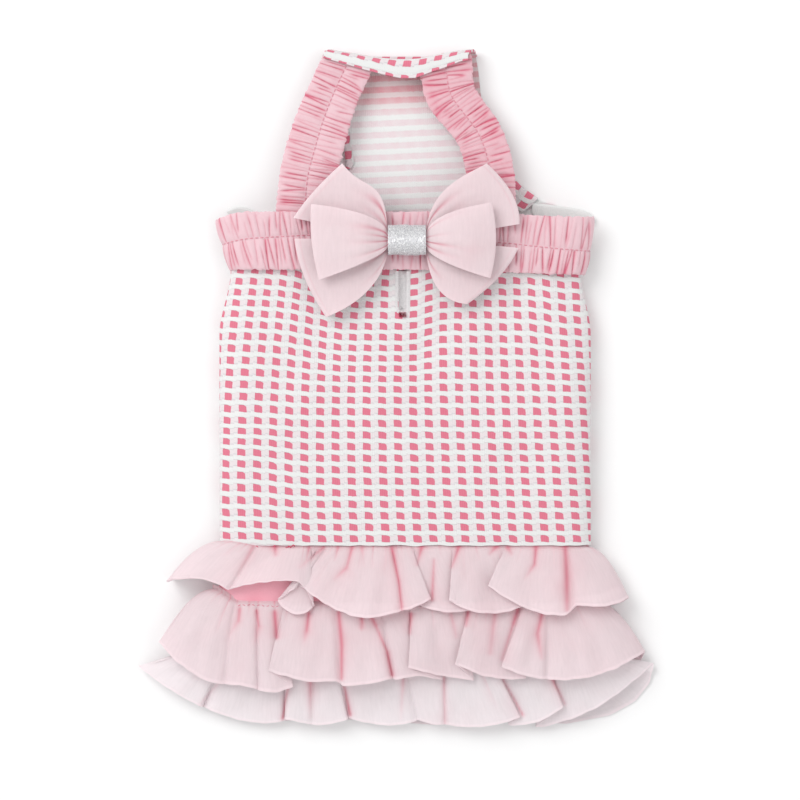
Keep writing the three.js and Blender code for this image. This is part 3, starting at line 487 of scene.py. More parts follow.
# Where the loose threads start and end across the seam
SEAM_THREADS = ((-62.6, -59.8), (-54.2, -52.4), (-48.8, -43.6))
LOOSE_STITCH = {"long": 1.1, "space": 0.02, "radius": 0.3}
TIER_STITCH = {"long": 1.2, "space": 0.9, "radius": 0.17, "swing": 0.35}
TIER_SEAM_ENDS = (-70, 78)
TIER_SEAM_DROP = 1.6
TIER_SEAM_RISE = 0.75


def mix(a, b, t):
    """From a to b as t goes from 0 to 1."""
    return a + (b - a) * t


def smooth(x, low, high):
    """0 up to low and 1 from high, with a soft step between them."""
    t = np.clip((x - low) / (high - low), 0, 1)
    return t * t * (3 - 2 * t)


def rise(across, half, corner):
    """How high a flattened tube stands at a place across it: 0 at its side, 1 past its rounded corner."""
    into = np.clip((np.abs(across) - (half - corner)) / corner, 0, 1)
    return np.sqrt(1 - into * into)


def places_across(half, corner, corner_steps, flat_steps):
    """Places across a flattened tube, close together in its rounded corners."""
    angle = np.linspace(0, math.pi / 2, corner_steps + 1)
    right = half - corner + corner * np.sin(angle)
    flat = np.linspace(-1, 1, flat_steps + 1)[1:-1] * (half - corner)
    return np.concatenate([-right[::-1], flat, right])


def lengths_along(line):
    """How far along a line each of its points is."""
    return np.concatenate([[0], np.cumsum(np.linalg.norm(np.diff(line, axis=0), axis=1))])


def directions(line):
    """The unit direction of a line at each of its points."""
    tangent = np.gradient(line, axis=0)
    return tangent / np.linalg.norm(tangent, axis=1, keepdims=True)


def unrolled(points):
    """Lengths along rows of points, from the middle of each row."""
    step = np.linalg.norm(np.diff(points, axis=1), axis=2)
    length = np.concatenate([np.zeros((len(points), 1)), np.cumsum(step, axis=1)], axis=1)
    return length - length[:, -1:] / 2


def waves(x, y, seed, size, count=9):
    """Smooth uneven waves between about -1 and 1, the same for the same seed."""
    draw = np.random.default_rng(seed)
    total = 0
    for angle, phase, stretch in zip(draw.uniform(0, 2 * math.pi, count), draw.uniform(0, 7, count),
                                     draw.uniform(0.6, 1.6, count)):
        along = (x * math.cos(angle) + y * math.sin(angle)) / (size * stretch)
        total = total + np.sin(2 * math.pi * along + phase)
    return total / math.sqrt(count)


def blurred(values, reach, loop):
    """Values along a line, each averaged with its neighbours."""
    weights = np.hanning(2 * reach + 3)[1:-1]
    weights /= weights.sum()
    shape = [(reach, reach)] + [(0, 0)] * (values.ndim - 1)
    wide = np.pad(values, shape, mode="wrap" if loop else "edge")
    return sum(w * wide[k:k + len(values)] for k, w in enumerate(weights))


def normals(points, loop):
    """Unit normals of a grid of points."""
    down = np.roll(points, -1, 0) - np.roll(points, 1, 0) if loop else np.gradient(points, axis=0)
    normal = np.cross(down, np.gradient(points, axis=1))
    return normal / np.maximum(np.linalg.norm(normal, axis=2, keepdims=True), 1e-9)


def make_mesh(name, points, faces, materials, face_material, layers):
    """A mesh piece on the root body. layers: values for each point, of one, two or three numbers."""
    used, index = np.unique(faces, return_inverse=True)
    faces = index.reshape(faces.shape)
    mesh = bpy.data.meshes.new(name)
    mesh.vertices.add(len(used))
    mesh.vertices.foreach_set("co", (points[used] * MM).ravel())
    mesh.loops.add(faces.size)
    mesh.loops.foreach_set("vertex_index", faces.ravel())
    mesh.polygons.add(len(faces))
    mesh.polygons.foreach_set("loop_start", np.arange(0, faces.size, faces.shape[1]))
    mesh.polygons.foreach_set("material_index", np.asarray(face_material, dtype=np.int32))
    mesh.update(calc_edges=True)
    mesh.validate()
    mesh.polygons.foreach_set("use_smooth", np.ones(len(mesh.polygons), dtype=bool))
    mesh.set_sharp_from_angle(angle=math.radians(60))
    for key, values in layers.items():
        values = values[used]
        if key == "cloth":
            uv = mesh.uv_layers.new(name=key)
            uv.data.foreach_set("uv", values[faces.ravel()].ravel())
            continue
        kind = {1: "FLOAT", 3: "FLOAT_VECTOR"}[1 if values.ndim == 1 else values.shape[1]]
        layer = mesh.attributes.new(key, kind, "POINT")
        layer.data.foreach_set("value" if kind == "FLOAT" else "vector", values.ravel())
    for material in materials:
        mesh.materials.append(material)
    piece = bpy.data.objects.new(name, mesh)
    bpy.context.scene.collection.objects.link(piece)
    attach(piece, "root")
    return piece


def wall(name, points, thickness, materials, layers, loop=False, keep=None):
    """A wall about a grid of points, with materials for its outside and inside. keep marks its cells."""
    m, n = points.shape[:2]
    side = normals(points, loop) * (np.broadcast_to(thickness, (m, n))[..., None] / 2)
    index = np.arange(m * n).reshape(m, n)
    if loop:
        index = np.concatenate([index, index[:1]])
    corner = [index[:-1, :-1], index[1:, :-1], index[1:, 1:], index[:-1, 1:]]
    cells = corner[0].shape
    keep = np.ones(cells, dtype=bool) if keep is None else keep
    beyond = np.pad(keep, 1)
    if loop:
        beyond[0, 1:-1] = keep[-1]
        beyond[-1, 1:-1] = keep[0]
    inside = m * n
    outer = np.stack([c[keep] for c in corner], axis=1)
    faces = [outer, outer[:, ::-1] + inside]
    neighbours = [beyond[1:-1, :-2], beyond[2:, 1:-1], beyond[1:-1, 2:], beyond[:-2, 1:-1]]
    for k, neighbour in enumerate(neighbours):
        open_side = keep & ~neighbour
        a = corner[k][open_side]
        b = corner[(k + 1) % 4][open_side]
        faces.append(np.stack([b, a, a + inside, b + inside], axis=1))
    count = [len(f) for f in faces]
    face_material = np.zeros(sum(count), dtype=np.int32)
    if len(materials) > 1:
        face_material[count[0]:count[0] + count[1]] = 1
    both = np.concatenate([(points + side).reshape(-1, 3), (points - side).reshape(-1, 3)])
    doubled = {}
    for key, value in layers.items():
        doubled[key] = np.concatenate([value.reshape(m * n, -1)] * 2).squeeze()
    return make_mesh(name, both, np.concatenate(faces), materials, face_material, doubled)


def tube(name, sections, material, layers):
    """A solid through closed sections, with its ends drawn together in their middles."""
    m, n = sections.shape[:2]
    points = sections.reshape(-1, 3)
    points = np.concatenate([points, sections[0].mean(0)[None], sections[-1].mean(0)[None]])
    index = np.arange(m * n).reshape(m, n)
    index = np.concatenate([index, index[:, :1]], axis=1)
    sides = np.stack([index[:-1, :-1], index[1:, :-1], index[1:, 1:], index[:-1, 1:]], axis=2)
    first = index[0]
    last = index[-1]
    even = np.arange(0, n - n % 2, 2)
    centre = np.full(len(even), m * n)
    start = np.stack([centre, first[even], first[even + 1], first[even + 2]], axis=1)
    end = np.stack([centre + 1, last[even + 2], last[even + 1], last[even]], axis=1)
    quads = np.concatenate([sides.reshape(-1, 4), start, end])
    a, b, c, _ = (points[column] for column in quads.T)
    if np.einsum("ij,ij->i", a, np.cross(b, c)).sum() < 0:
        quads = quads[:, ::-1]
    ended = {}
    for key, value in layers.items():
        value = value.reshape(m * n, -1)
        ended[key] = np.concatenate([value, value[:1], value[-1:]]).squeeze()
    return make_mesh(name, points, quads, [material], np.zeros(len(quads)), ended)


def stand_for(piece, node):
    """Hides the CAD solid that a piece replaces."""
    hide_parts(node)
    return piece


def linear(red, green, blue):
    """A colour given in 0 to 255 as a screen shows it, as light."""
    return [((c / 255 + 0.055) / 1.055) ** 2.4 for c in (red, green, blue)] + [1.0]


class Finish:
    """A material whose nodes are written as formulas."""

    def __init__(self, name):
        self.material = bpy.data.materials.new(name)
        self.material.use_nodes = True
        self.tree = self.material.node_tree
        self.tree.nodes.clear()

    def add(self, kind, settings=None, **inputs):
        made = self.tree.nodes.new("ShaderNode" + kind)
        for key, value in (settings or {}).items():
            setattr(made, key, value)
        for key, value in inputs.items():
            socket = made.inputs[int(key[1:])] if key[1:].isdigit() else made.inputs[key.replace("_", " ")]
            if isinstance(value, bpy.types.NodeSocket):
                self.tree.links.new(value, socket)
            else:
                socket.default_value = value
        return made

    def math(self, operation, a, b=0.0, c=0.0):
        return self.add("Math", {"operation": operation}, _0=a, _1=b, _2=c).outputs[0]

    def layer(self, name):
        return self.add("Attribute", {"attribute_name": name})

    def cloth(self, scale=1.0):
        """Places on the cloth, in millimetres times scale."""
        place = self.add("UVMap", {"uv_map": "cloth"}).outputs[0]
        return self.add("VectorMath", {"operation": "SCALE"}, Vector=place, Scale=scale).outputs[0]

    def apart(self, vector):
        return self.add("SeparateXYZ", Vector=vector).outputs

    def noise(self, vector, scale, detail=2.0):
        return self.add("TexNoise", Vector=vector, Scale=scale, Detail=detail).outputs[0]

    def ridges(self, places, pitch):
        """Even ridges, one for each pitch in millimetres."""
        return self.math("SINE", self.math("MULTIPLY", places, 2 * math.pi / pitch))

    def between(self, value, low, high, start=0.0, end=1.0):
        """start below low and end above high, with a soft step between them."""
        made = self.add("MapRange", {"interpolation_type": "SMOOTHSTEP"}, Value=value)
        for key, number in (("From Min", low), ("From Max", high), ("To Min", start), ("To Max", end)):
            made.inputs[key].default_value = number
        return made.outputs[0]

    def blend(self, share, a, b):
        made = self.add("Mix", {"data_type": "RGBA"}, _0=share, _6=a, _7=b)
        return made.outputs[2]

    def bump(self, height, distance, strength=1.0, normal=None):
        made = self.add("Bump", Height=height, Distance=distance, Strength=strength)
        if normal is not None:
            self.tree.links.new(normal, made.inputs["Normal"])
        return made.outputs[0]

    def surface(self, shader):
        out = self.add("OutputMaterial")
        self.tree.links.new(shader, out.inputs["Surface"])
        return self.material

    def principled(self, **inputs):
        return self.add("BsdfPrincipled", **inputs).outputs[0]


WHITE_KNIT = linear(220, 221, 220)
PALE_KNIT = linear(219, 207, 210)
PINK_KNIT = linear(207, 98, 122)
PINK_KNIT_PALE = linear(218, 128, 148)
# grey for the thin line of painted shade under each raised white band of the check
RIDGE_SHADE_GREY = linear(186, 188, 192)
PINK_THREAD = linear(214, 74, 108)
INSIDE_KNIT = linear(229, 231, 230)
STRIPE = linear(225, 197, 204)
# shaded copies of the inside's colours, for painted shade under the neck strip
INSIDE_SHADED = linear(221, 205, 206)
STRIPE_SHADED = linear(216, 118, 134)
# the gathered cotton's colours, lit and with painted shade
GATHERED = linear(226, 192, 199)
GATHERED_SHADED = linear(204, 96, 120)
LINING = linear(239, 175, 188)
LINING_SHADED = linear(222, 126, 145)
CHIFFON_PALE = linear(247, 234, 237)
# painted light: a paler copy of the chiffon for the bottom ruffle, for the light that comes through it
CHIFFON_PAINTED_LIT = linear(251, 245, 247)
CHIFFON_SHADED = linear(234, 146, 164)
BOW_PALE = linear(246, 231, 234)
BOW_SHADED = linear(226, 142, 160)
HEM_PALE = linear(252, 236, 240)
SILVER = linear(222, 222, 225)
SILVER_BRIGHT = linear(254, 254, 255)
PALE_THREAD = linear(226, 150, 166)
BINDING_DEEP = linear(212, 205, 208)
FLOOR = linear(240, 240, 240)
FLOOR_DEEP = linear(238, 238, 238)

# How far apart threads are, in millimetres
KNIT_RIB = 0.82
KNIT_LOOP = 0.62
INSIDE_RIB = 0.9
BINDING_RIB = 0.8
COTTON_WEAVE = 0.42
CHIFFON_WEAVE = 0.5
GLITTER_FLAKES = 2.6  # flakes for each millimetre


def check_finish():
    """Knit with pink squares in rows, white bands between the rows and white cords between the squares."""
    f = Finish("check_knit")
    u, v, _ = f.apart(f.layer("cells").outputs["Vector"])
    wobble = f.math("SUBTRACT", f.noise(f.cloth(), 0.45), 0.5)
    v_in = f.math("WRAP", f.math("MULTIPLY_ADD", wobble, 0.10, v), 0.5, -0.5)
    u_in = f.math("WRAP", f.math("MULTIPLY_ADD", wobble, 0.10, u), 0.5, -0.5)
    v_lean = f.math("MULTIPLY_ADD", u_in, 0.14, v_in)
    right = f.math("MAXIMUM", u_in, 0.0)
    upper = f.math("MULTIPLY_ADD", f.math("MULTIPLY", right, right), 1.6, v_lean)
    in_row = f.between(f.math("ABSOLUTE", v_lean), 0.27, 0.33, 1.0, 0.0)
    in_column = f.between(f.math("ABSOLUTE", u_in), 0.235, 0.275, 1.0, 0.0)
    square = f.math("MULTIPLY", in_row, in_column)
    square = f.math("MULTIPLY", square, f.between(upper, 0.27, 0.33, 1.0, 0.0))
    square = f.math("MULTIPLY", square, f.between(v, -0.52, -0.48))
    # painted shade: a thin grey line low in each row between the squares, under the raised white band
    thread = f.between(f.math("ABSOLUTE", f.math("ADD", v_lean, 0.2)), 0.02, 0.06, 1.0, 0.0)
    painted_ridge_shade = f.math("MULTIPLY", f.math("MULTIPLY", thread, f.math("SUBTRACT", 1.0, in_column)), 0.55)
    across, along, _ = f.apart(f.cloth())
    rib = f.ridges(across, KNIT_RIB)
    loops = f.ridges(along, KNIT_LOOP)
    fuzz = f.noise(f.cloth(), 3.2, 4.0)
    worn = f.math("MULTIPLY", f.math("MULTIPLY_ADD", rib, 0.25, fuzz), 0.6)
    pink = f.blend(worn, PINK_KNIT, PINK_KNIT_PALE)
    colour = f.blend(f.math("MULTIPLY", in_row, 0.75), WHITE_KNIT, PALE_KNIT)
    colour = f.blend(painted_ridge_shade, colour, RIDGE_SHADE_GREY)
    colour = f.blend(f.math("MULTIPLY", square, 0.97), colour, pink)
    height = f.math("MULTIPLY_ADD", in_row, -0.5, 1.0)
    height = f.math("MULTIPLY_ADD", square, -0.3, height)
    height = f.math("MULTIPLY_ADD", rib, 0.10, height)
    height = f.math("MULTIPLY_ADD", loops, 0.06, height)
    height = f.math("MULTIPLY_ADD", fuzz, 0.25, height)
    rough = f.math("MULTIPLY_ADD", fuzz, 0.15, 0.78)
    normal = f.bump(height, 0.00035, 0.8)
    return f.surface(f.principled(Base_Color=colour, Roughness=rough, Normal=normal))


def stripe_finish():
    """The knit's inside: soft stripes, with painted shade where the third number of the cells is above 0."""
    f = Finish("stripe_knit")
    u, v, deep = f.apart(f.layer("cells").outputs["Vector"])
    wobble = f.math("SUBTRACT", f.noise(f.cloth(), 0.5), 0.5)
    v_in = f.math("WRAP", f.math("MULTIPLY_ADD", wobble, 0.16, v), 0.5, -0.5)
    u_in = f.math("ABSOLUTE", f.math("WRAP", u, 0.5, -0.5))
    stripe = f.between(f.math("ABSOLUTE", v_in), 0.2, 0.34, 1.0, 0.0)
    blocks = f.between(u_in, 0.1, 0.4, 1.0, 0.82)
    across = f.apart(f.cloth())[0]
    rib = f.ridges(across, INSIDE_RIB)
    fuzz = f.noise(f.cloth(), 3.0, 4.0)
    share = f.math("MULTIPLY", f.math("MULTIPLY", stripe, blocks), f.math("MULTIPLY_ADD", fuzz, 0.6, 0.3))
    # painted shade: towards the neck the inside and its stripes blend to darker colours
    colour = f.blend(share, f.blend(deep, INSIDE_KNIT, INSIDE_SHADED), f.blend(deep, STRIPE, STRIPE_SHADED))
    height = f.math("MULTIPLY_ADD", rib, 0.12, f.math("MULTIPLY_ADD", stripe, -0.3, fuzz))
    normal = f.bump(height, 0.0003, 0.7)
    return f.surface(f.principled(Base_Color=colour, Roughness=0.88, Normal=normal))


def gathered_finish(name, pale, deep):
    """Fine plain cotton, with painted shade in its creases."""
    f = Finish(name)
    crease = f.layer("crease").outputs["Fac"]
    across, along, _ = f.apart(f.cloth())
    weave = f.math("ADD", f.ridges(across, COTTON_WEAVE), f.ridges(along, COTTON_WEAVE))
    patch = f.noise(f.cloth(), 0.12, 3.0)
    # painted shade: the crease layer blends the colour towards the shaded one
    share = f.math("MULTIPLY_ADD", patch, 0.3, f.math("MULTIPLY_ADD", crease, 0.85, -0.1))
    share = f.between(share, 0.0, 1.0)
    colour = f.blend(share, pale, deep)
    height = f.math("MULTIPLY_ADD", weave, 0.15, f.noise(f.cloth(), 0.8, 4.0))
    normal = f.bump(height, 0.00025, 0.7)
    rough = f.math("MULTIPLY_ADD", patch, 0.12, 0.76)
    return f.surface(f.principled(Base_Color=colour, Roughness=rough, Normal=normal, Sheen_Weight=0.15))


def chiffon_finish(name, cover, pale, deep, streak):
    """Sheer crinkled cloth with painted shade in its creases: cover is how much of it is thread, and streak
    how uneven its threads are.
    """
    f = Finish(name)
    crease = f.layer("crease").outputs["Fac"]
    hem = f.layer("hem").outputs["Fac"]
    across, along, _ = f.apart(f.cloth())
    weave = f.math("ADD", f.ridges(across, CHIFFON_WEAVE), f.ridges(along, CHIFFON_WEAVE))
    stretched = f.add("Mapping", Vector=f.cloth(), Scale=(0.9, 0.16, 1.0)).outputs[0]
    slub = f.noise(stretched, 0.9, 3.0)
    patch = f.noise(f.cloth(), 0.05, 2.0)
    # painted shade: the crease layer blends the colour towards the shaded pink
    share = f.math("MULTIPLY_ADD", patch, 0.35, f.math("MULTIPLY_ADD", crease, 0.9, -0.12))
    colour = f.blend(f.between(share, 0.0, 1.0), pale, deep)
    colour = f.blend(f.math("MULTIPLY", hem, 0.3), colour, HEM_PALE)
    height = f.math("MULTIPLY_ADD", weave, 0.12, f.math("MULTIPLY", slub, streak))
    normal = f.bump(height, 0.00025, 0.6)
    front = f.principled(Base_Color=colour, Roughness=0.8, Normal=normal, Sheen_Weight=0.2)
    through = f.add("BsdfTranslucent", Color=colour, Normal=normal).outputs[0]
    thread = f.add("MixShader", _0=0.35, _1=front, _2=through).outputs[0]
    clear = f.add("BsdfTransparent").outputs[0]
    covered = f.math("MULTIPLY_ADD", slub, 0.12, f.math("MULTIPLY_ADD", hem, 1.0 - cover, cover - 0.06))
    covered = f.math("MINIMUM", f.math("MULTIPLY_ADD", crease, 0.1, covered), 1.0)
    return f.surface(f.add("MixShader", _0=covered, _1=clear, _2=thread).outputs[0])


def glitter_finish():
    """Silver cloth covered in small bright flakes."""
    f = Finish("glitter")
    flakes = f.add("TexVoronoi", {"feature": "F1"}, Vector=f.cloth(), Scale=GLITTER_FLAKES)
    tone = f.apart(flakes.outputs["Color"])
    bright = f.between(tone[0], 0.55, 0.95)
    colour = f.blend(bright, SILVER, SILVER_BRIGHT)
    height = f.math("MULTIPLY_ADD", tone[1], 1.2, flakes.outputs["Distance"])
    normal = f.bump(height, 0.0004, 1.0)
    rough = f.between(tone[2], 0.1, 0.9, 0.25, 0.65)
    return f.surface(f.principled(Base_Color=colour, Roughness=rough, Metallic=0.3, Normal=normal))


def thread_finish(name, colour):
    f = Finish(name)
    place = f.add("TexCoord").outputs["Object"]
    twist = f.noise(place, 2500.0)
    tone = f.blend(twist, colour, [c * 0.8 for c in colour[:3]] + [1.0])
    return f.surface(f.principled(Base_Color=tone, Roughness=0.7, Normal=f.bump(twist, 0.0001)))


def binding_finish():
    """White knit turned over an edge."""
    f = Finish("binding")
    fuzz = f.noise(f.cloth(), 2.6, 4.0)
    across = f.apart(f.cloth())[0]
    loops = f.ridges(across, BINDING_RIB)
    colour = f.blend(fuzz, WHITE_KNIT, BINDING_DEEP)
    height = f.math("MULTIPLY_ADD", loops, 0.15, fuzz)
    return f.surface(f.principled(Base_Color=colour, Roughness=0.85, Normal=f.bump(height, 0.0003)))


CHECK = check_finish()
STRIPES = stripe_finish()
GATHERED_CLOTH = gathered_finish("gathered_cotton", GATHERED, GATHERED_SHADED)
LINING_CLOTH = gathered_finish("lining", LINING, LINING_SHADED)
RUFFLE_CLOTH = chiffon_finish("ruffle_chiffon", 0.86, CHIFFON_PALE, CHIFFON_SHADED, 0.3)
BOTTOM_LIT_CLOTH = chiffon_finish("bottom_chiffon_painted_lit", 0.88, CHIFFON_PAINTED_LIT, CHIFFON_SHADED, 0.3)
BOW_CLOTH = chiffon_finish("bow_chiffon", 0.97, BOW_PALE, BOW_SHADED, 0.2)
GLITTER = glitter_finish()
PINK_STITCH = thread_finish("pink_thread", PINK_THREAD)
PALE_STITCH = thread_finish("pale_thread", PALE_THREAD)
BINDING = binding_finish()


def in_pixels(x, y):
    """Places in photo pixels."""
    return x / PIXEL + PIXEL_X, PIXEL_Y - y / PIXEL


def check_cells(x, y):
    """The check's column and row numbers at places on the back, leaning and sagging as in the photo."""
    px, py = in_pixels(x, y)
    first = np.polyval(np.polyfit(COLUMN_HEIGHTS, FIRST_COLUMN, 2), py)
    pitch = np.polyval(np.polyfit(COLUMN_HEIGHTS, COLUMN_PITCH, 2), py)
    at = py.copy()
    for pull in CHECK_PULLS:
        in_rows = smooth(py, pull["y0"], pull["y1"]) * (1 - smooth(py, pull["y2"], pull["y3"]))
        pulled = pull["down"] * in_rows * smooth(px, pull["x0"], pull["x1"])
        at = at - pulled * (1 - smooth(px, pull["x2"], pull["x3"]))
    change = LAST_ROW - ROW_PITCH * UPPER_ROW
    row = np.where(at > change, (LAST_ROW - at) / ROW_PITCH, UPPER_ROW + (change - at) / UPPER_PITCH)
    return np.stack([(px - first) / pitch, row, np.zeros_like(row)], axis=-1)


def loft(y):
    """How high the back lies over the floor."""
    middle = (BAND_Y + SEAM_Y) / 2
    away = (y - middle) / (BODY_LENGTH / 2)
    end = np.where(away > 0, LOFT_AT_BAND, LOFT_AT_SEAM)
    return mix(LOFT_AT_MIDDLE, end, np.minimum(away * away, 1.3))


def dent(across, y):
    """How deep the creases dent the back panel."""
    total = 0
    for c in CREASES:
        start = np.array([c["across0"] * HALF_BODY, BAND_Y - c["down0"] * BODY_LENGTH])
        run = np.array([c["across1"] * HALF_BODY, BAND_Y - c["down1"] * BODY_LENGTH]) - start
        long = np.hypot(*run)
        dx = across - start[0]
        dy = y - start[1]
        share = (dx * run[0] + dy * run[1]) / long ** 2
        beyond = np.maximum(np.abs(share - 0.5) - 0.5, 0) * long
        away = np.hypot((dx * run[1] - dy * run[0]) / long, beyond) / (c["width"] * KNIT)
        total = total + c["depth"] * KNIT * np.exp(-away * away)
    return total


def body_x(across, y):
    """Where a place across the body lies, drawn in at the waistband."""
    nip = np.where(across < 0, NIP_LEFT, NIP_RIGHT)
    pinch = np.where(across < 0, PINCH_LEFT, PINCH_RIGHT) - nip
    nip = nip + pinch * (1 - smooth(y, BAND_Y + 6, BAND_TOP_Y))
    return BODY_X + across * (1 - (nip / HALF_BODY) * smooth(y, BAND_Y - NIP_REACH, BAND_Y))


def snap(values, targets):
    """Moves the nearest values onto the targets."""
    for target in targets:
        values[np.abs(values - target).argmin()] = target
    return values


def back_panel(trim):
    low = SIDE_HEIGHT + SIDE_GAP / 2
    slit_sides = [SLIT_X - BODY_X - SLIT_WIDTH / 2, SLIT_X - BODY_X + SLIT_WIDTH / 2]
    slit_end = BAND_Y + GAP - SLIT_LENGTH
    across = snap(places_across(PANEL_HALF, TOP_CORNER, 20, 150), slit_sides)
    down = snap(np.linspace(BAND_Y + PANEL_TUCK, SEAM_Y + GAP / 2, 150), [slit_end, BAND_Y + GAP])
    y, x = np.meshgrid(down, across, indexing="ij")
    wrinkle = 0.22 * waves(x, y, 4, 34) + 0.07 * waves(x, y, 5, 13)
    z = mix(low, loft(y) - KNIT / 2 - dent(x, y) + wrinkle, rise(x, PANEL_HALF, TOP_CORNER))
    points = np.stack([body_x(x, y), y, z], axis=2)
    hem = smooth(y, SEAM_Y + 4, SEAM_Y)
    points[..., 1] += hem * (0.18 * waves(x, 0 * x, 6, 9) + 0.1)
    length = unrolled(points)
    longer = np.abs(length) - np.abs(points[..., 0] - BODY_X)
    shift = np.where(np.abs(x) > PANEL_HALF - TOP_CORNER, longer, 0)
    flat_x = points[..., 0] + np.sign(x) * np.maximum(shift - 0.3, 0)
    open_cells = ((across[:-1] > slit_sides[0] - 0.01) & (across[1:] < slit_sides[1] + 0.01))[None]
    open_rows = ((down[1:] > slit_end - 0.01) & (down[:-1] < BAND_Y + GAP + 0.01))[:, None]
    layers = {"cloth": np.stack([length, y], axis=2), "cells": check_cells(flat_x, y)}
    piece = wall("back_knit", points, KNIT_SEEN, [CHECK, STRIPES], layers, keep=~(open_cells & open_rows))
    return stand_for(piece, "back_panel")


def belly_rows(top):
    """The belly panel's rows of points, from the skirt up to the neck fold at top and down to the hem, and
    the number of the row where the fold starts."""
    radius = (NECK_FOLD_HEIGHT - KNIT) / 2
    shares = places_across(PANEL_HALF, BELLY_CORNER, 12, 120) / PANEL_HALF

    def flat(y):
        down = (NECK_Y - y) / STRAP_DROP
        left = np.interp(down, ARMHOLES["down"], ARMHOLES["left"]) * PANEL_HALF
        right = np.interp(down, ARMHOLES["down"], ARMHOLES["right"]) * PANEL_HALF
        up = (1 - rise(shares * PANEL_HALF, PANEL_HALF, BELLY_CORNER)) * smooth(down, 0.97, 1.12)
        x = mix(left, right, (shares + 1) / 2)
        z = KNIT / 2 + up * (SIDE_HEIGHT - SIDE_GAP / 2 - KNIT / 2)
        return np.stack([body_x(x, np.full_like(x, y)), np.full_like(x, y), z], axis=1)

    armhole_start = NECK_Y - ARMHOLES["down"][-1] * STRAP_DROP
    rows = [flat(y) for y in np.linspace(SEAM_Y + GAP / 2, armhole_start, 46)[:-1]]
    rows += [flat(y) for y in np.linspace(armhole_start, top, 62)]
    dip = NECK_DIP * np.interp(shares, NECK_LINE["across"], NECK_LINE["dip"])
    reach = np.interp(shares, NECK_LINE["across"], NECK_LINE["reach"]) - NECK_FOLD_DEPTH
    crest = len(rows) - 1

    def strip_x(through):
        left = np.interp(through, NECK_ENDS["through"], NECK_ENDS["left"])
        return mix(left, np.interp(through, NECK_ENDS["through"], NECK_ENDS["right"]), (shares + 1) / 2)

    for angle in np.linspace(0, math.pi, 22)[1:]:
        y = top - dip + NECK_FOLD_DEPTH * math.sin(angle)
        z = np.full_like(y, KNIT / 2 + radius * (1 - math.cos(angle)))
        rows.append(np.stack([strip_x(angle / math.pi), y, z], axis=1))
    turned = rows[-1]
    for share in np.linspace(0, 1, 12)[1:]:
        y = turned[:, 1] - share * reach
        dent_here = NECK_SEAM_DENT * math.exp(-(((share - NECK_SEAM) / 0.08) ** 2))
        z = turned[:, 2] + 0.15 * waves(turned[:, 0], y, 14, 16) * share - dent_here
        rows.append(np.stack([strip_x(1.0), y, z], axis=1))
    return np.stack(rows), crest


def neck_cells(points, length, crest, top):
    """Column, row and painted shade towards the neck for the belly panel's points. The rows follow the neck
    strip's hem.
    """
    number = np.arange(len(points))[:, None]
    past = np.where(number > crest, length - length[crest], points[..., 1] - top)
    longest = past[-1, past.shape[1] // 2]
    to_hem = longest - past * mix(1, longest / past[-1], smooth(past, -1, 1))
    to_hem = to_hem + NECK_TILT * points[..., 0] * smooth(past, 0, -8)
    band_end = HEM_ROW + PALE_BAND
    row = np.where(to_hem < HEM_ROW, (to_hem + 0.2) / NECK_ROW, 0.6 + (to_hem - band_end) / NECK_ROW)
    in_band = (to_hem > HEM_ROW) & (to_hem < band_end)
    row = np.where(in_band, mix(0.4, 0.6, (to_hem - HEM_ROW) / PALE_BAND), row)
    column = (points[..., 0] - NECK_COLUMN_X) / NECK_COLUMN - NECK_COLUMN_LEAN * (row - 1)
    return np.stack([column, row, smooth(points[..., 1], *NECK_SHADE_HEIGHTS)], axis=2)


def belly_panel(hems):
    top = NECK_Y - NECK_FOLD_DEPTH - KNIT / 2
    points, crest = belly_rows(top)
    down = np.linalg.norm(np.diff(points, axis=0), axis=2)
    length = np.concatenate([np.zeros((1, down.shape[1])), np.cumsum(down, axis=0)])
    cloth = np.stack([points[..., 0], length], axis=2)
    layers = {"cloth": cloth, "cells": neck_cells(points, length, crest, top)}
    thick = np.full(points.shape[:2], KNIT_SEEN)
    thick[-2:] = KNIT
    piece = wall("belly_knit", points, thick, [CHECK, STRIPES], layers)
    return stand_for(piece, "belly_panel")


def crease_lines(count_length, pitch, draw):
    """Random crease places along a gathered length."""
    gaps = draw.uniform(0.55, 1.5, int(count_length / pitch) + 8) * pitch
    places = np.cumsum(gaps) - pitch
    return places[places < count_length + pitch]


def as_it_is(points):
    """For a casing that isn't bent any further."""
    return points


def gathers_on(length, a, pitch, draw):
    """How deep the gathers are on a casing, at lengths along it and places a across it, from -1 to 1."""
    crease = np.zeros((len(length), len(a)))
    for channel in (-1, 1):
        in_channel = smooth(channel * a, -0.02, 0.06)
        for place in crease_lines(length[-1], pitch, draw):
            slant = draw.normal(0, 0.35) * pitch
            bend = draw.normal(0, 0.25) * pitch
            strength = draw.uniform(0.25, 1.0)
            from_stitch = draw.uniform() < 0.75
            reach = draw.uniform(0.75, 1.7)
            outward = np.clip(channel * a, 0, 1)
            way = outward if from_stitch else 1 - outward
            fade = 1 - smooth(way, reach * 0.6, reach)
            at = place + slant * (outward - 0.5) + bend * outward * outward
            gap = np.abs(length[:, None] - at) / (0.17 * pitch * (0.7 + way))
            crease += strength * np.exp(-gap) * fade * in_channel
    return np.minimum(crease, 1.3)


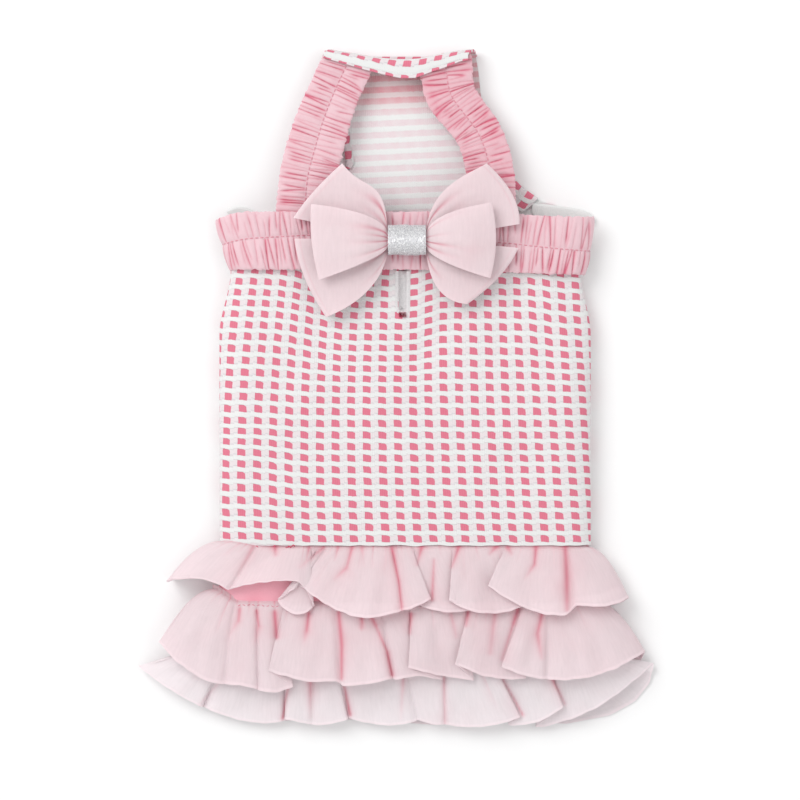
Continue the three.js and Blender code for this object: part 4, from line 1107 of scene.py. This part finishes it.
def gathered_band(name, node, frames, thickness, gathers, laid):
    """A flat casing with a stitched middle line, gathered into uneven creases that run across it."""
    middle, across, up, length, width = frames
    pitch, seed = gathers["pitch"], gathers["seed"]
    tops = 46
    a = -np.cos(np.linspace(0, math.pi, tops))
    a = mix(a, np.linspace(-1, 1, tops), 0.75)
    crease = gathers_on(length, a, pitch, np.random.default_rng(seed))
    ridge = np.zeros(len(length))
    arch = 0.3 + 0.7 * np.sqrt(np.maximum(1 - (2 * np.abs(a) - 1) ** 2, 0))
    for size in (pitch * 1.1, pitch * 2.3):
        ridge += 0.5 * waves(length, 0 * length, seed + int(size * 7), size, 5)
    edge = 1 - 0.018 * (ridge + 1.2) - 0.01 * waves(length, 0 * length, seed + 3, pitch * 0.8, 4)
    top = arch * thickness / 2 * (1 + 0.08 * ridge[:, None]) - crease * gathers["deep"] * arch
    under = -np.cos(np.linspace(0, math.pi, 11))[1:-1][::-1]
    low = np.full((len(length), len(under)), -thickness / 2)
    section_a = np.concatenate([a, under * 0.97])
    height = np.concatenate([top, low], axis=1)
    reach = (width / 2 * edge)[:, None] * section_a
    points = laid(middle[:, None] + across[:, None] * reach[..., None] + up[:, None] * height[..., None])
    # painted shade: the creases' depth, plus each strap's even painted shade
    shade = np.concatenate([crease, np.zeros_like(low)], axis=1) + gathers["tone"]
    cloth = np.stack([np.broadcast_to(length[:, None], reach.shape), reach], axis=2)
    piece = tube(name, points, GATHERED_CLOTH, {"cloth": cloth, "crease": shade})
    stand_for(piece, node)
    valley = laid(middle + up * (top[:, tops // 2] + CASING_STITCH["over_cloth"])[:, None])
    stitches(name + "_stitches", valley, across, CASING_STITCH, PALE_STITCH)
    return piece


def up_the_dress(line):
    """The direction +Y for each place of a line."""
    return np.tile([0.0, 1.0, 0.0], (len(line), 1))


def stitches(name, line, across, stitch, material):
    """Short threads one after another along a line, swung to and fro about it where stitch says so."""
    long, space, radius = stitch["long"], stitch["space"], stitch["radius"]
    swing = stitch.get("swing", 0.0)
    at = lengths_along(line)
    starts = np.arange(0.5, at[-1] - long, long + space)
    points, faces = [], []
    profile = ((0, 0.4), (0.12, 0.9), (0.5, 1.0), (0.88, 0.9), (1, 0.4))
    for k, start in enumerate(starts):
        places = np.array([start + long * share for share, _ in profile])
        spine = np.stack([np.interp(places, at, line[:, c]) for c in range(3)], axis=1)
        side = np.stack([np.interp(places, at, across[:, c]) for c in range(3)], axis=1)
        spine = spine + side * (swing * np.linspace(-1, 1, 5)[:, None] * (-1) ** k)
        base = len(points)
        for (_, size), centre, out in zip(profile, spine, side):
            for angle in np.arange(THREAD_SIDES) * 2 * math.pi / THREAD_SIDES:
                offset = out * math.cos(angle) + UP * math.sin(angle)
                points.append(centre + offset * radius * size)
        last = len(points) - THREAD_SIDES
        for ring in range(base, last, THREAD_SIDES):
            for j in range(THREAD_SIDES):
                a = ring + j
                b = ring + (j + 1) % THREAD_SIDES
                faces.append((a, b, b + THREAD_SIDES, a + THREAD_SIDES))
        for first, order in ((base, -1), (last, 1)):
            six = [first + j for j in range(THREAD_SIDES)][::order]
            faces.append((six[0], six[1], six[2], six[3]))
            faces.append((six[0], six[3], six[4], six[5]))
    points = np.array(points)
    layers = {"cloth": points[:, :2]}
    piece = make_mesh(name, points, np.array(faces), [material], np.zeros(len(faces)), layers)
    return piece


def spline(points, count):
    """A smooth line through points, by centripetal Catmull-Rom, at even lengths."""
    points = np.asarray(points, dtype=float)
    padded = np.concatenate([[2 * points[0] - points[1]], points, [2 * points[-1] - points[-2]]])
    line = []
    for k in range(1, len(padded) - 2):
        p0, p1, p2, p3 = padded[k - 1:k + 3]
        gaps = [max(np.linalg.norm(b - a), 1e-6) ** 0.5 for a, b in ((p0, p1), (p1, p2), (p2, p3))]
        m1 = (p2 - p1 + gaps[1] * ((p1 - p0) / gaps[0] - (p2 - p0) / (gaps[0] + gaps[1])))
        m2 = (p2 - p1 + gaps[1] * ((p3 - p2) / gaps[2] - (p3 - p1) / (gaps[1] + gaps[2])))
        for t in np.linspace(0, 1, 24, endpoint=False):
            line.append((2 * t ** 3 - 3 * t ** 2 + 1) * p1 + (t ** 3 - 2 * t ** 2 + t) * m1
                        + (-2 * t ** 3 + 3 * t ** 2) * p2 + (t ** 3 - t ** 2) * m2)
    line = np.array(line + [points[-1]])
    at = lengths_along(line)
    even = np.linspace(0, at[-1], count)
    return np.stack([np.interp(even, at, line[:, c]) for c in range(3)], axis=1), even


def frames_along(points, first, width_at, count):
    """Frames along a smooth line, turning from the direction first to square over STRAP_TURN: its middle,
    the ways across and up, its length so far and its width."""
    middle, length = spline(points, count)
    tangent = directions(middle)
    up = np.cross(tangent, first)
    up /= np.linalg.norm(up, axis=1, keepdims=True)
    square = np.cross(up, tangent)
    turn = smooth(length, 0, STRAP_TURN)[:, None]
    across = mix(np.asarray(first), square, turn)
    return middle, across, up, length, width_at(length / length[-1])


def waistband():
    half = HALF_BODY - min(NIP_LEFT, NIP_RIGHT) + BAND_EASE + BAND_THICKNESS / 2
    y = (BAND_Y + BAND_TOP_Y) / 2
    low = SIDE_HEIGHT + SIDE_GAP
    top = BAND_UNDERSIDE + BAND_THICKNESS / 2
    x = places_across(half, TOP_CORNER, 12, 10)
    z = mix(low, top, rise(x, half, TOP_CORNER))
    points = np.stack([BODY_X + x, np.full_like(x, y), z], axis=1)
    frames = frames_along(points, (0, 1, 0), lambda t: np.full_like(t, BAND_HEIGHT), 680)

    def slanted(places):
        """The band's ends lean in towards its lower edge, and its right end hangs a little."""
        from_middle = (places[..., 0] - BODY_X) / half
        lower = np.clip(0.5 - (places[..., 1] - y) / BAND_HEIGHT, 0, 1)
        lean = np.where(from_middle < 0, BAND_LEAN_LEFT, -BAND_LEAN_RIGHT)
        bent = places.copy()
        bent[..., 0] += lean * lower * smooth(np.abs(from_middle), 0.2, 1.0)
        bent[..., 1] -= BAND_HANG * smooth(places[..., 0], 20, 80)
        past_corner = np.clip((BAND_CORNER_X - places[..., 0]) / BAND_CORNER, 0, 1)
        bent[..., 1] -= BAND_CORNER_FALL * past_corner ** 2 * (1 - lower)
        middle = 1 - np.abs(2 * lower - 1)
        bent[..., 1] += middle * np.interp(places[..., 0], BAND_MIDDLE["x"], BAND_MIDDLE["rise"])
        return bent

    gathers = {"pitch": BAND_GATHER, "deep": BAND_CREASE, "tone": 0.0, "seed": 11}
    return gathered_band("waistband_gathered", "waistband", frames, BAND_THICKNESS, gathers, slanted)


def strap(side, seed):
    route = STRAP_ROUTES[side]
    z = mix(STRAP_START_Z, STRAP_END_Z, smooth(route["down"], 0.2, 1))
    x = BODY_X + route["across"] * NECK_WIDTH / 2
    points = np.stack([x, NECK_Y - route["down"] * STRAP_DROP, z], axis=1)
    points = np.concatenate([points, [[x[-1], BAND_TOP_Y - STRAP_TUCK, STRAP_END_Z]]])
    slant = -STRAP_SLANT if side == "left" else STRAP_SLANT
    first = np.array([1, slant, 0]) / math.hypot(1, slant)

    def width_at(t):
        return np.interp(mix(route["down"][0], 1, t), route["down"], route["width"]) * STRAP_WIDTH

    frames = frames_along(points, first, width_at, 360)
    gathers = {"pitch": STRAP_GATHER, "deep": STRAP_CREASE, "tone": STRAP_PAINTED_SHADE[side], "seed": seed}
    node = f"strap_{side}"
    return gathered_band(node + "_gathered", node, frames, STRAP_THICKNESS, gathers, as_it_is)


def underskirt():
    half = UNDERSKIRT_HALF
    belly = BELLY_Z + LAYER
    upper = places_across(half, TOP_CORNER, 10, 60)
    lower = places_across(half, BELLY_CORNER, 8, 30)[1:-1][::-1]
    x = np.concatenate([upper, lower])[:, None]
    top_side = np.concatenate([np.ones(len(upper), bool), np.zeros(len(lower), bool)])[:, None]
    t = np.linspace(0, 1, 26)[None]
    y = SKIRT_TOP_Y - t * UNDERSKIRT_LENGTH + 0 * x
    wide = 1 + (UNDERSKIRT_FLARE / half) * smooth(t, 0, 0.4)
    top = mix(UNDERSKIRT_TOP, UNDERSKIRT_TOP_END, t)
    low = mix(belly, belly + LAYER, smooth(t, 0, 0.4))
    z = np.where(top_side, mix(SIDE_HEIGHT, top, rise(x, half, TOP_CORNER)),
                 mix(SIDE_HEIGHT, low, rise(x, half, BELLY_CORNER)))
    points = np.stack([BODY_X + x * wide, y, z], axis=2)
    layers = {"cloth": points[..., :2].copy(), "crease": 0.15 + 0.15 * waves(points[..., 0], y, 8, 20)}
    piece = wall("underskirt_cloth", points, LINING_SEEN, [LINING_CLOTH], layers, loop=True)
    return stand_for(piece, "underskirt")


def folds_back(flute, following):
    """Whether the cloth folds back under itself between two flutes."""
    return abs(flute["hem1"] - following["hem0"]) > FLUTE_OVERLAP


def between_flutes(flute, following):
    """Places between two flutes: the hidden part of a fold, or the bottom of a valley."""
    def place(t):
        return [mix(flute[key + "1"], following[key + "0"], t) for key in ("seam", "hem", "drop")]

    if not folds_back(flute, following):
        return [(*place(0.5), min(flute["level1"], following["level0"]) - FLUTE_VALLEY, 0, 1)]
    path = []
    for t in np.linspace(0, 1, 14)[1:-1]:
        path.append((*place(t), mix(flute["level1"], following["level0"], smooth(t, 0.0, 1.0)), 0, 1))
    return path


def ruffle_path(flutes, left_fall):
    """The ruffle's ring as columns of numbers: where each place leaves the seam and ends at the hem, how far
    down, how high, how arched, and whether it is on the back."""
    path = []
    for k, flute in enumerate(flutes):
        skip = 0.0
        if k:
            path += between_flutes(flutes[k - 1], flute)
            skip = 0.0 if folds_back(flutes[k - 1], flute) else FLUTE_EDGE
        for t in np.linspace(skip, 1.0 - FLUTE_EDGE, 30):
            arch = 4 * t * (1 - t)
            drop = mix(flute["drop0"], flute["drop1"], t)
            drop += arch * (flute["drop_mid"] - (flute["drop0"] + flute["drop1"]) / 2)
            path.append((mix(flute["seam0"], flute["seam1"], t), mix(flute["hem0"], flute["hem1"], t), drop,
                         mix(flute["level0"], flute["level1"], smooth(t, 0.1, 0.7)), arch, 1))
        if k + 1 == len(flutes) or folds_back(flute, flutes[k + 1]):
            path.append((flute["seam1"], flute["hem1"], flute["drop1"], flute["level1"], 0, 1))
    first = path[0]
    last = path[-1]
    for row in BELLY_HEM:
        tip_drop = mix(first[2], last[2], (row["hem"] + 1) / 2)
        hem = row["hem"] * abs(last[1] if row["hem"] > 0 else first[1])
        fall = row["fall"] * (1 if row["hem"] > 0 else left_fall)
        path.append((row["seam"], hem, mix(tip_drop, 0.97, fall), 0, 0, 0))
    return np.array(path)


def growth(share):
    """How much of their full height flutes have at a share of the way down."""
    return np.clip(share, 0, 1) ** FLUTE_GROWTH


def low_fold(shape, down):
    """Height of a ruffle's lower folds at a distance down from the main seam."""
    share = (down - shape["drop"]) / shape["length"]
    own = mix(shape["seam_z"], shape["hem_z"], share) + shape["swell"] * 4 * share * (1 - share)
    over = shape["over"]
    if over is None:
        return own
    flutes_below = (FLUTE + FLUTE_ARCH) * growth((down - over["drop"]) / over["length"])
    resting = low_fold(over, down) + flutes_below + FLUTE_VALLEY * FLUTE * growth(share) + LAYER
    return np.where(down < over["drop"], own, np.maximum(own, resting))


def valleys(tier, x, y):
    """How strong the valleys of one ruffle are at places on it, for their dent and their painted shade."""
    px, py = in_pixels(x, y)
    total = np.zeros_like(px)
    for v in VALLEYS[tier]:
        dx = v["x1"] - v["x0"]
        dy = v["y1"] - v["y0"]
        long = math.hypot(dx, dy)
        share = ((px - v["x0"]) * dx + (py - v["y0"]) * dy) / long ** 2
        beyond = np.maximum(np.abs(share - 0.5) - 0.5, 0) * long
        aside = np.abs((px - v["x0"]) * dy - (py - v["y0"]) * dx) / long
        strength = mix(v["deep0"], v["deep1"], np.clip(share, 0, 1)) * np.exp(-(beyond / 3) ** 2)
        line = np.exp(-(aside / v["wide"]) ** 1.3)
        total = np.maximum(total, strength * mix(line, np.exp(-aside / (3.2 * v["wide"])), 0.42))
    return total


def even_ring(path, shape):
    """The ruffle's ring at even lengths along its hem, and those lengths."""
    ring = np.concatenate([path, path[:1]])
    at = lengths_along(ring[:, 1:4] * (shape["spread"], shape["length"], FLUTE * 1.5))
    even = np.linspace(0, at[-1], int(at[-1] / RUFFLE_STEP), endpoint=False)
    ring = np.stack([np.interp(even, at, ring[:, c]) for c in range(6)], axis=1)
    return blurred(ring, 2, True), even


def corner_rise(x, half, top_corner, back):
    """How high a ring stands at places across it. Its back and its belly side have corners of their own."""
    inside = np.minimum(np.abs(x), half)
    return mix(rise(inside, half, BELLY_CORNER), rise(inside, half, top_corner), back)


def ruffle_gathers(length, t, draw):
    """How deep the small gathers are that run down from the ruffle's seam."""
    crease = np.zeros((len(length), t.shape[1]))
    for start in crease_lines(length[-1, 0], GATHER_SPACE, draw):
        strength = draw.uniform(0.1, 0.45)
        reach = draw.choice([0.2, 0.35, 0.5, 0.8], p=[0.4, 0.3, 0.2, 0.1]) * draw.uniform(0.8, 1.2)
        lean = draw.normal(0, 2.6)
        steep, gentle = draw.permutation([0.45, draw.uniform(1.2, 2.6)])
        fade = np.clip(1 - t / reach, 0, 1) ** 0.7
        away = (length - start - lean * t) / (0.7 + 1.8 * t)
        crease += strength * fade * np.exp(-np.where(away > 0, away / steep, -away / gentle) ** 1.4)
    return crease


def ruffle_piece(node, shape, points, cloth, t, crease):
    """The ruffle's cloth about its points, thicker and paler in its rolled hem."""
    hem_row = np.broadcast_to(smooth(t, 0.965, 0.98), crease.shape)
    layers = {"cloth": cloth, "crease": crease, "hem": hem_row.copy()}
    # the bottom ruffle takes the paler copy with painted light
    finish = BOTTOM_LIT_CLOTH if shape is BOTTOM_RUFFLE else RUFFLE_CLOTH
    thick = mix(CHIFFON, CHIFFON_HEM, hem_row)
    piece = wall(node + "_chiffon", points, thick, [finish], layers, loop=True)
    return stand_for(piece, node)


def ruffle(node, shape, flutes, seed):
    path = ruffle_path(flutes, TOP_LEFT_FALL if shape is TOP_RUFFLE else 1)
    ring, even = even_ring(path, shape)
    seam, hem, drop, lift, arch, back = (ring[:, c][:, None] for c in range(6))
    back = smooth(back, 0.3, 0.7)
    from_tuck = np.concatenate([[-TUCK, -TUCK / 2], np.linspace(0, 1, 42)])[None]
    t = np.maximum(from_tuck, 0)
    tucked = np.minimum(from_tuck, 0)
    seam_x = BODY_X + seam * shape["waist"]
    hem_x = hem * shape["spread"]
    wing = smooth(np.abs(seam), WING["from"], 1)
    seam_rise = corner_rise(seam * shape["waist"], shape["waist"], TOP_CORNER, back)
    hem_rise = corner_rise(hem_x, shape["spread"], RUFFLE_CORNER, back)
    outward = np.where(seam < 0, WING["across_left"], WING["across_right"])
    x = mix(seam_x, hem_x, t ** mix(1, outward, wing))
    down = shape["drop"] + drop * shape["length"] * t ** mix(1, WING["down"], wing)
    edge = mix(SIDE_HEIGHT, RUFFLE_TIP_Z, t)
    flute = (lift * FLUTE + arch * FLUTE_ARCH) * growth(t)
    top = low_fold(shape, mix(down, shape["drop"] + t * shape["length"], wing)) + flute
    low = mix(shape["belly_z"], BELLY_Z, smooth(t, shape["landing"], shape["landing"] + LANDING_SPAN))
    upper = mix(low, top, back)
    z = mix(edge, upper, mix(seam_rise, hem_rise, t))
    length = even[:, None]
    hem_wave = 0.2 * waves(length, 0 * length, seed + 2, 9) * smooth(t, 0.8, 1.0) * back
    x = x + 0 * z
    y = SKIRT_TOP_Y - down - tucked * shape["length"] + hem_wave + 0 * z
    crease = ruffle_gathers(length, t, np.random.default_rng(seed))
    crease = np.minimum(np.maximum(crease, valleys(node, x, y)), 1.1) * back
    ripple = 0.4 * waves(length, 18 * t, seed + 1, 17) * smooth(t, 0.1, 0.5) * back
    z = z + (0.35 - 1.15 * crease) * smooth(t, 0.0, 0.06) * (1 - 0.5 * t) * back + ripple
    z = z - TUCK_DEPTH * (1 - smooth(from_tuck, -0.6 * TUCK, 0.035)) * back
    shoulder = (1 - smooth(seam, -1.0, shape["shoulder_end"])) * (1 - t) ** 2 * back
    points = np.stack([x, y + shape["shoulder"] * shoulder, z + SHOULDER_RISE * shoulder], axis=2)
    # painted shade: the creases and valleys, and a band along the seam
    shade = np.clip(crease + 0.25 * np.exp(-t / 0.03) * back, 0, 1.2)
    cloth = np.stack([length + 0 * z, down - shape["drop"] + 0 * z], axis=2)
    return ruffle_piece(node, shape, points, cloth, t, shade)


def loop_grip(loop):
    """Where a loop's two long edges are held in the knot, as shares of half its inner height."""
    if loop["layer"] == 1:
        return LOOP_GRIP
    if loop["y0"] + loop["y1"] > 0:
        return TAIL_GRIP
    return -TAIL_GRIP[1], -TAIL_GRIP[0]


def bow_creases(r, v, front, seed):
    """How deep the pleats are that run out from the knot on a loop's front layer."""
    draw = np.random.default_rng(seed)
    crease = np.zeros((len(r), v.shape[1]))
    for place in np.linspace(0.16, 0.84, 4) + draw.uniform(-0.06, 0.06, 4):
        reach = draw.uniform(0.45, 1.0)
        bend = draw.normal(0, 0.06)
        wide = mix(0.03, 0.12, r) * draw.uniform(0.7, 1.2)
        fade = np.clip(1 - r / reach, 0, 1) ** 1.1
        crease += draw.uniform(0.5, 1.0) * fade * np.exp(-(((v - place - bend * r) / wide) ** 2))
    return np.minimum(crease, 1.2) * (front > 0)


def bow_piece(loop, points, crease, mouth, r, v):
    """A loop's cloth about its points, pale at its rim, with painted shade in its pleats and at the knot."""
    rim = np.maximum(smooth(np.abs(2 * v - 1), 0.93, 0.97), smooth(r, 0.955, 0.985))
    # painted shade: in the pleats, strongest near the knot, and in the loop's mouth at the knot
    deep = crease * mix(0.25, 1.0, np.exp(-(r / 0.3) ** 2)) + 0.3 * (1 - mouth)
    width = abs(loop["x0"] + loop["x1"]) * BOW_HALF_WIDTH
    from_edge = (1 - r) * width / 2
    seam_line = 0 if loop["layer"] == 1 else 0.2 * np.exp(-((from_edge - BOW_SEAM) / 0.5) ** 2)
    cloth = points[..., :2] - (BOW_X, BOW_Y)
    layers = {"cloth": cloth, "crease": np.clip(deep + seam_line, 0, 1), "hem": 0.5 * rim + 0 * crease}
    piece = wall(loop["name"] + "_cloth", points, CHIFFON, [BOW_CLOTH], layers)
    return stand_for(piece, loop["name"])


def bow_loop(loop, seed):
    """One loop: its front layer runs out from the knot, folds over at the edge and comes back behind."""
    side = np.sign(loop["x0"])
    cavity = KNOT_LENGTH / 2 - WOVEN
    front_layer = loop["layer"] == 1
    inner = loop_grip(loop)
    mouth_x = side * (KNOT_WIDTH / 2 + GAP)
    start_z = KNOT_BASE + mix(WOVEN, KNOT_DEPTH - WOVEN, LOOP_START if front_layer else TAIL_START)
    end_z = KNOT_BASE + KNOT_DEPTH * (LOOP_END if front_layer else TAIL_END)
    opening = LOOP_OPEN if front_layer else TAIL_OPEN
    turning = np.sin(np.linspace(LOOP_FOLD_ANGLE, math.pi / 2, 10))[1:]
    out = np.concatenate([np.linspace(0, LOOP_FOLD, 52), turning])
    r = np.concatenate([[0], out, out[::-1][1:], [0]])[:, None]
    held = np.zeros_like(r)
    held[0] = held[-1] = 1
    turn = np.sqrt(np.maximum(1 - np.clip((r - LOOP_FOLD) / (1 - LOOP_FOLD), 0, 1) ** 2, 0))
    front = np.concatenate([np.ones(len(out) + 1), -np.ones(len(out))])[:, None] * turn
    v = np.linspace(0, 1, 44)[None]
    edge_x = (mix(loop["x0"], loop["x1"], v) + side * loop["edge_bulge"] * 4 * v * (1 - v)) * BOW_HALF_WIDTH
    edge_y = mix(loop["y0"], loop["y1"], v) * BOW_HALF_HEIGHT
    near = r ** 0.55
    bulge = np.where(v < 0.5, loop["bulge0"], -loop["bulge1"]) * 4 * near * (1 - near) * np.abs(2 * v - 1)
    bulge = bulge * (1 - r) ** loop["fade"]
    x = mix(mouth_x, edge_x, r) - held * side * (BOW_GRIP + GAP)
    y = mix(mix(inner[0], inner[1], v) * cavity, edge_y, r ** 0.9) + bulge * BOW_HALF_HEIGHT
    puff = np.sin(math.pi * r ** 0.8) * (1 - 0.6 * (2 * v - 1) ** 2)
    puff = puff * np.where(front > 0, opening, opening * 0.2)
    half = WOVEN * mix(0.65, 1, r) * 0.8 + puff
    z = mix(start_z, end_z, smooth(r, 0, 0.35)) + front * half
    crease = bow_creases(r, v, front, seed)
    mouth = smooth(r, 0.0, 0.08)
    wave = 0.35 * waves(x, y, seed + 9, 26) * smooth(r, 0.2, 0.7)
    z = z - PLEAT_DEPTH * crease * mouth * np.sqrt(r + 0.1) + wave
    points = np.stack([BOW_X + x, BOW_Y + y, z], axis=2)
    return bow_piece(loop, points, crease, mouth, r, v)


def bow_knot():
    half_depth = (KNOT_DEPTH - WOVEN) / 2
    half_length = (KNOT_LENGTH - WOVEN) / 2
    angle = np.linspace(0, 2 * math.pi, 120, endpoint=False)[:, None]
    across = np.linspace(-1, 1, 40)[None]

    def squared(v):
        return np.sign(v) * np.abs(v) ** 0.6

    tuck = 0.18 * waves(across * 8, angle * 2, 31, 5)
    y = BOW_Y + (half_length + tuck) * squared(np.cos(angle))
    z = KNOT_BASE + KNOT_DEPTH / 2 + (half_depth + tuck) * squared(np.sin(angle))
    x = BOW_X + across * KNOT_WIDTH / 2 + 0 * angle
    points = np.stack([x, y + 0 * x, z + 0 * x], axis=2)
    around = angle * KNOT_LENGTH / 2 + 0 * x
    layers = {"cloth": np.stack([x, around], axis=2)}
    piece = wall("bow_knot_glitter", points, GLITTER_SEEN, [GLITTER], layers, loop=True)
    return stand_for(piece, "bow_knot")


def armhole_route(side, start, end):
    """The belly panel's edge between two places down it."""
    down = np.linspace(start, end, int(120 * (end - start)) + 12)
    across = np.interp(down, ARMHOLES["down"], ARMHOLES[side])
    return blurred(across, 4, False), down


def photo_route(places):
    """A route like that of armhole_route, through places in photo pixels."""
    px, py = np.array(places, dtype=float).T
    steps = np.linspace(0, len(px) - 1, 60)
    px = blurred(np.interp(steps, np.arange(len(px)), px), 5, False)
    py = blurred(np.interp(steps, np.arange(len(py)), py), 5, False)
    across = ((px - PIXEL_X) * PIXEL - BODY_X) / PANEL_HALF
    return across, (NECK_Y - (PIXEL_Y - py) * PIXEL) / STRAP_DROP


def armhole_hem(name, side, route, turned, checked):
    """A stretch of the belly panel's edge turned in round an armhole, its outer side showing."""
    across, down = route
    x = BODY_X + across * PANEL_HALF
    y = NECK_Y - down * STRAP_DROP
    edge = np.stack([x, y, np.full_like(x, KNIT)], axis=1)
    inward = np.cross(directions(edge), UP) * (1 if side == "right" else -1)
    length = lengths_along(edge)
    share = np.linspace(0, 1, 14)[None]
    up = 0.6 * np.sqrt(np.maximum(1 - (1 - np.minimum(share / 0.14, 1)) ** 2, 0)) + 0.15
    up = up + 0.12 * waves(length[:, None], 4 * share, 15, 11)
    near_end = np.minimum(length, length[-1] - length)[:, None] / 2.5
    width = turned * (0.35 + 0.65 * np.sqrt(np.clip(near_end, 0, 1)))
    into = (share * width)[..., None]
    points = edge[:, None] + inward[:, None] * into + UP * up[..., None]
    rows = share * turned / NECK_ROW - 0.25 if checked else 0.5 + 0 * share
    cells = np.stack(np.broadcast_arrays(length[:, None] / NECK_COLUMN, rows, 0), axis=2)
    cloth = np.stack(np.broadcast_arrays(length[:, None], share * turned), axis=2)
    if side == "right":
        points, cells, cloth = points[:, ::-1], cells[:, ::-1], cloth[:, ::-1]
    piece = wall(name, points, HEM_SEEN, [CHECK, STRIPES], {"cloth": cloth, "cells": cells})
    return piece


def slit_trim():
    """The leash slit's turned edges, and the bar of stitches at its end."""
    top = BAND_Y - 0.2
    end = BAND_Y + GAP - SLIT_LENGTH
    half = SLIT_WIDTH / 2
    z = loft(np.array([SLIT_LOFT_Y]))[0] - KNIT / 2
    turn = np.linspace(math.pi, 2 * math.pi, 9)
    xs = np.concatenate([[-half] * 12, half * np.cos(turn), [half] * 12]) + SLIT_X
    left_side = np.linspace(top, end + half, 12)
    ys = np.concatenate([left_side, end + half + half * np.sin(turn), left_side[::-1]])
    line, length = spline(np.stack([xs, ys, np.full_like(xs, z)], axis=1)[::2], 90)
    inward = -np.cross(directions(line), UP)
    across = SLIT_TURN["inward"][None, :, None] * inward[:, None]
    points = line[:, None] + across + UP * SLIT_TURN["up"][None, :, None]
    points[..., 2] += 0.12 * waves(points[..., 0] * 3, points[..., 1], 16, 6)
    cloth = np.stack(np.broadcast_arrays(length[:, None], SLIT_TURN["inward"][None]), axis=2)
    binding = wall("slit_binding", points, BINDING_SEEN, [BINDING], {"cloth": cloth})
    s = np.linspace(-1, 1, SLIT_BAR["points"])
    bar_x = SLIT_X + SLIT_BAR["half"] * s
    bar_y = end - SLIT_BAR["below"] + SLIT_BAR["zigzag"] * np.sin(SLIT_BAR["turns"] * s)
    bar = np.stack([bar_x, bar_y, np.full_like(s, z + SLIT_BAR["above_cloth"])], axis=1)
    tack = stitches("slit_bar_tack", bar, up_the_dress(bar), BAR_STITCH, PINK_STITCH)
    return [binding, tack]


def seam_threads():
    """Loose pink threads at the left of the seam between the knit and the skirt."""
    z = LOFT_AT_SEAM + 0.6
    for k, (start, end) in enumerate(SEAM_THREADS):
        x = np.linspace(start, end, 60)
        y = SEAM_Y - 0.2 - 0.35 * np.sin(3.1 * x) - 0.3 * np.sin(1.2 * x + k)
        line = np.stack([x, y, z + 0.25 * np.cos(2.3 * x)], axis=1)
        stitches(f"seam_thread_{k}", line, up_the_dress(line), LOOSE_STITCH, PINK_STITCH)


def tier_seam():
    """The row of gathering stitches that shows above the middle ruffle."""
    x = np.linspace(*TIER_SEAM_ENDS, 300)
    y = SKIRT_TOP_Y - MIDDLE_RUFFLE["drop"] - TIER_SEAM_DROP + 0.25 * waves(x, 0 * x, 41, 14, 5)
    z = np.full_like(x, low_fold(MIDDLE_RUFFLE, MIDDLE_RUFFLE["drop"] + TIER_SEAM_DROP) + TIER_SEAM_RISE)
    line = np.stack([x, y, z], axis=1)
    stitches("tier_seam_stitches", line, up_the_dress(line), TIER_STITCH, PALE_STITCH)


back_panel(slit_trim())
belly_panel([
    armhole_hem("armhole_hem_left", "left", armhole_route("left", 0.37, 0.73), 3.1, True),
    armhole_hem("armhole_hem_right", "right", armhole_route("right", 0.58, 0.913), 9.0, True),
    armhole_hem("armhole_roll_right", "right", photo_route(RIGHT_ROLL), 6.5, False),
    armhole_hem("armhole_roll_left", "left", LEFT_ROLL, 3.0, False),
])
waistband()
strap("left", 21)
strap("right", 22)
underskirt()
ruffle("ruffle_top", TOP_RUFFLE, TOP_FLUTES, 51)
ruffle("ruffle_middle", MIDDLE_RUFFLE, MIDDLE_FLUTES, 52)
ruffle("ruffle_bottom", BOTTOM_RUFFLE, BOTTOM_FLUTES, 53)
for number, loop in enumerate(BOW_LOOPS):
    bow_loop(loop, 60 + number)
bow_knot()
seam_threads()
tier_seam()

# Stage, light and camera, in metres
STAGE_SIZE = 6.0
FLOOR_Z = -0.0002
WORLD_STRENGTH = 0.82
SENSOR = 36  # millimetres
CAMERA_HEIGHT = 1.5
VIEW_WIDTH = 0.352
VIEW_X = 0.00176
VIEW_Y = -0.00484
VIEW_Z = 0.01


def floor():
    mesh = bpy.data.meshes.new("floor")
    reach = STAGE_SIZE / 2
    corners = [(-reach, -reach, 0), (reach, -reach, 0), (reach, reach, 0), (-reach, reach, 0)]
    mesh.from_pydata(corners, [], [(0, 1, 2, 3)])
    f = Finish("floor")
    place = f.add("TexCoord").outputs["Object"]
    tone = f.blend(f.noise(place, 3.0), FLOOR, FLOOR_DEEP)
    mesh.materials.append(f.surface(f.principled(Base_Color=tone, Roughness=0.9)))
    ground = bpy.data.objects.new("floor", mesh)
    ground.location.z = FLOOR_Z
    bpy.context.scene.collection.objects.link(ground)


def area_light(name, place, size, power):
    light = bpy.data.lights.new(name, "AREA")
    light.size = size
    light.energy = power
    lamp = bpy.data.objects.new(name, light)
    lamp.location = place
    lamp.rotation_mode = "QUATERNION"
    lamp.rotation_quaternion = (-lamp.location).to_track_quat("-Z", "Y")
    bpy.context.scene.collection.objects.link(lamp)


def world():
    made = bpy.data.worlds.new("studio")
    made.use_nodes = True
    made.node_tree.nodes["Background"].inputs["Color"].default_value = (1, 1, 1, 1)
    made.node_tree.nodes["Background"].inputs["Strength"].default_value = WORLD_STRENGTH
    bpy.context.scene.world = made


def camera():
    data = bpy.data.cameras.new("camera")
    data.sensor_width = SENSOR
    data.lens = SENSOR * (CAMERA_HEIGHT - VIEW_Z) / VIEW_WIDTH
    made = bpy.data.objects.new("camera", data)
    made.location = (VIEW_X, VIEW_Y, CAMERA_HEIGHT)
    bpy.context.scene.collection.objects.link(made)
    bpy.context.scene.camera = made


floor()
world()
area_light("key", (-1.0, 0.8, 1.4), 1.2, 18.5)
area_light("fill", (1.2, -0.4, 1.6), 1.6, 5)
camera()
bpy.context.scene.view_settings.view_transform = "Standard"
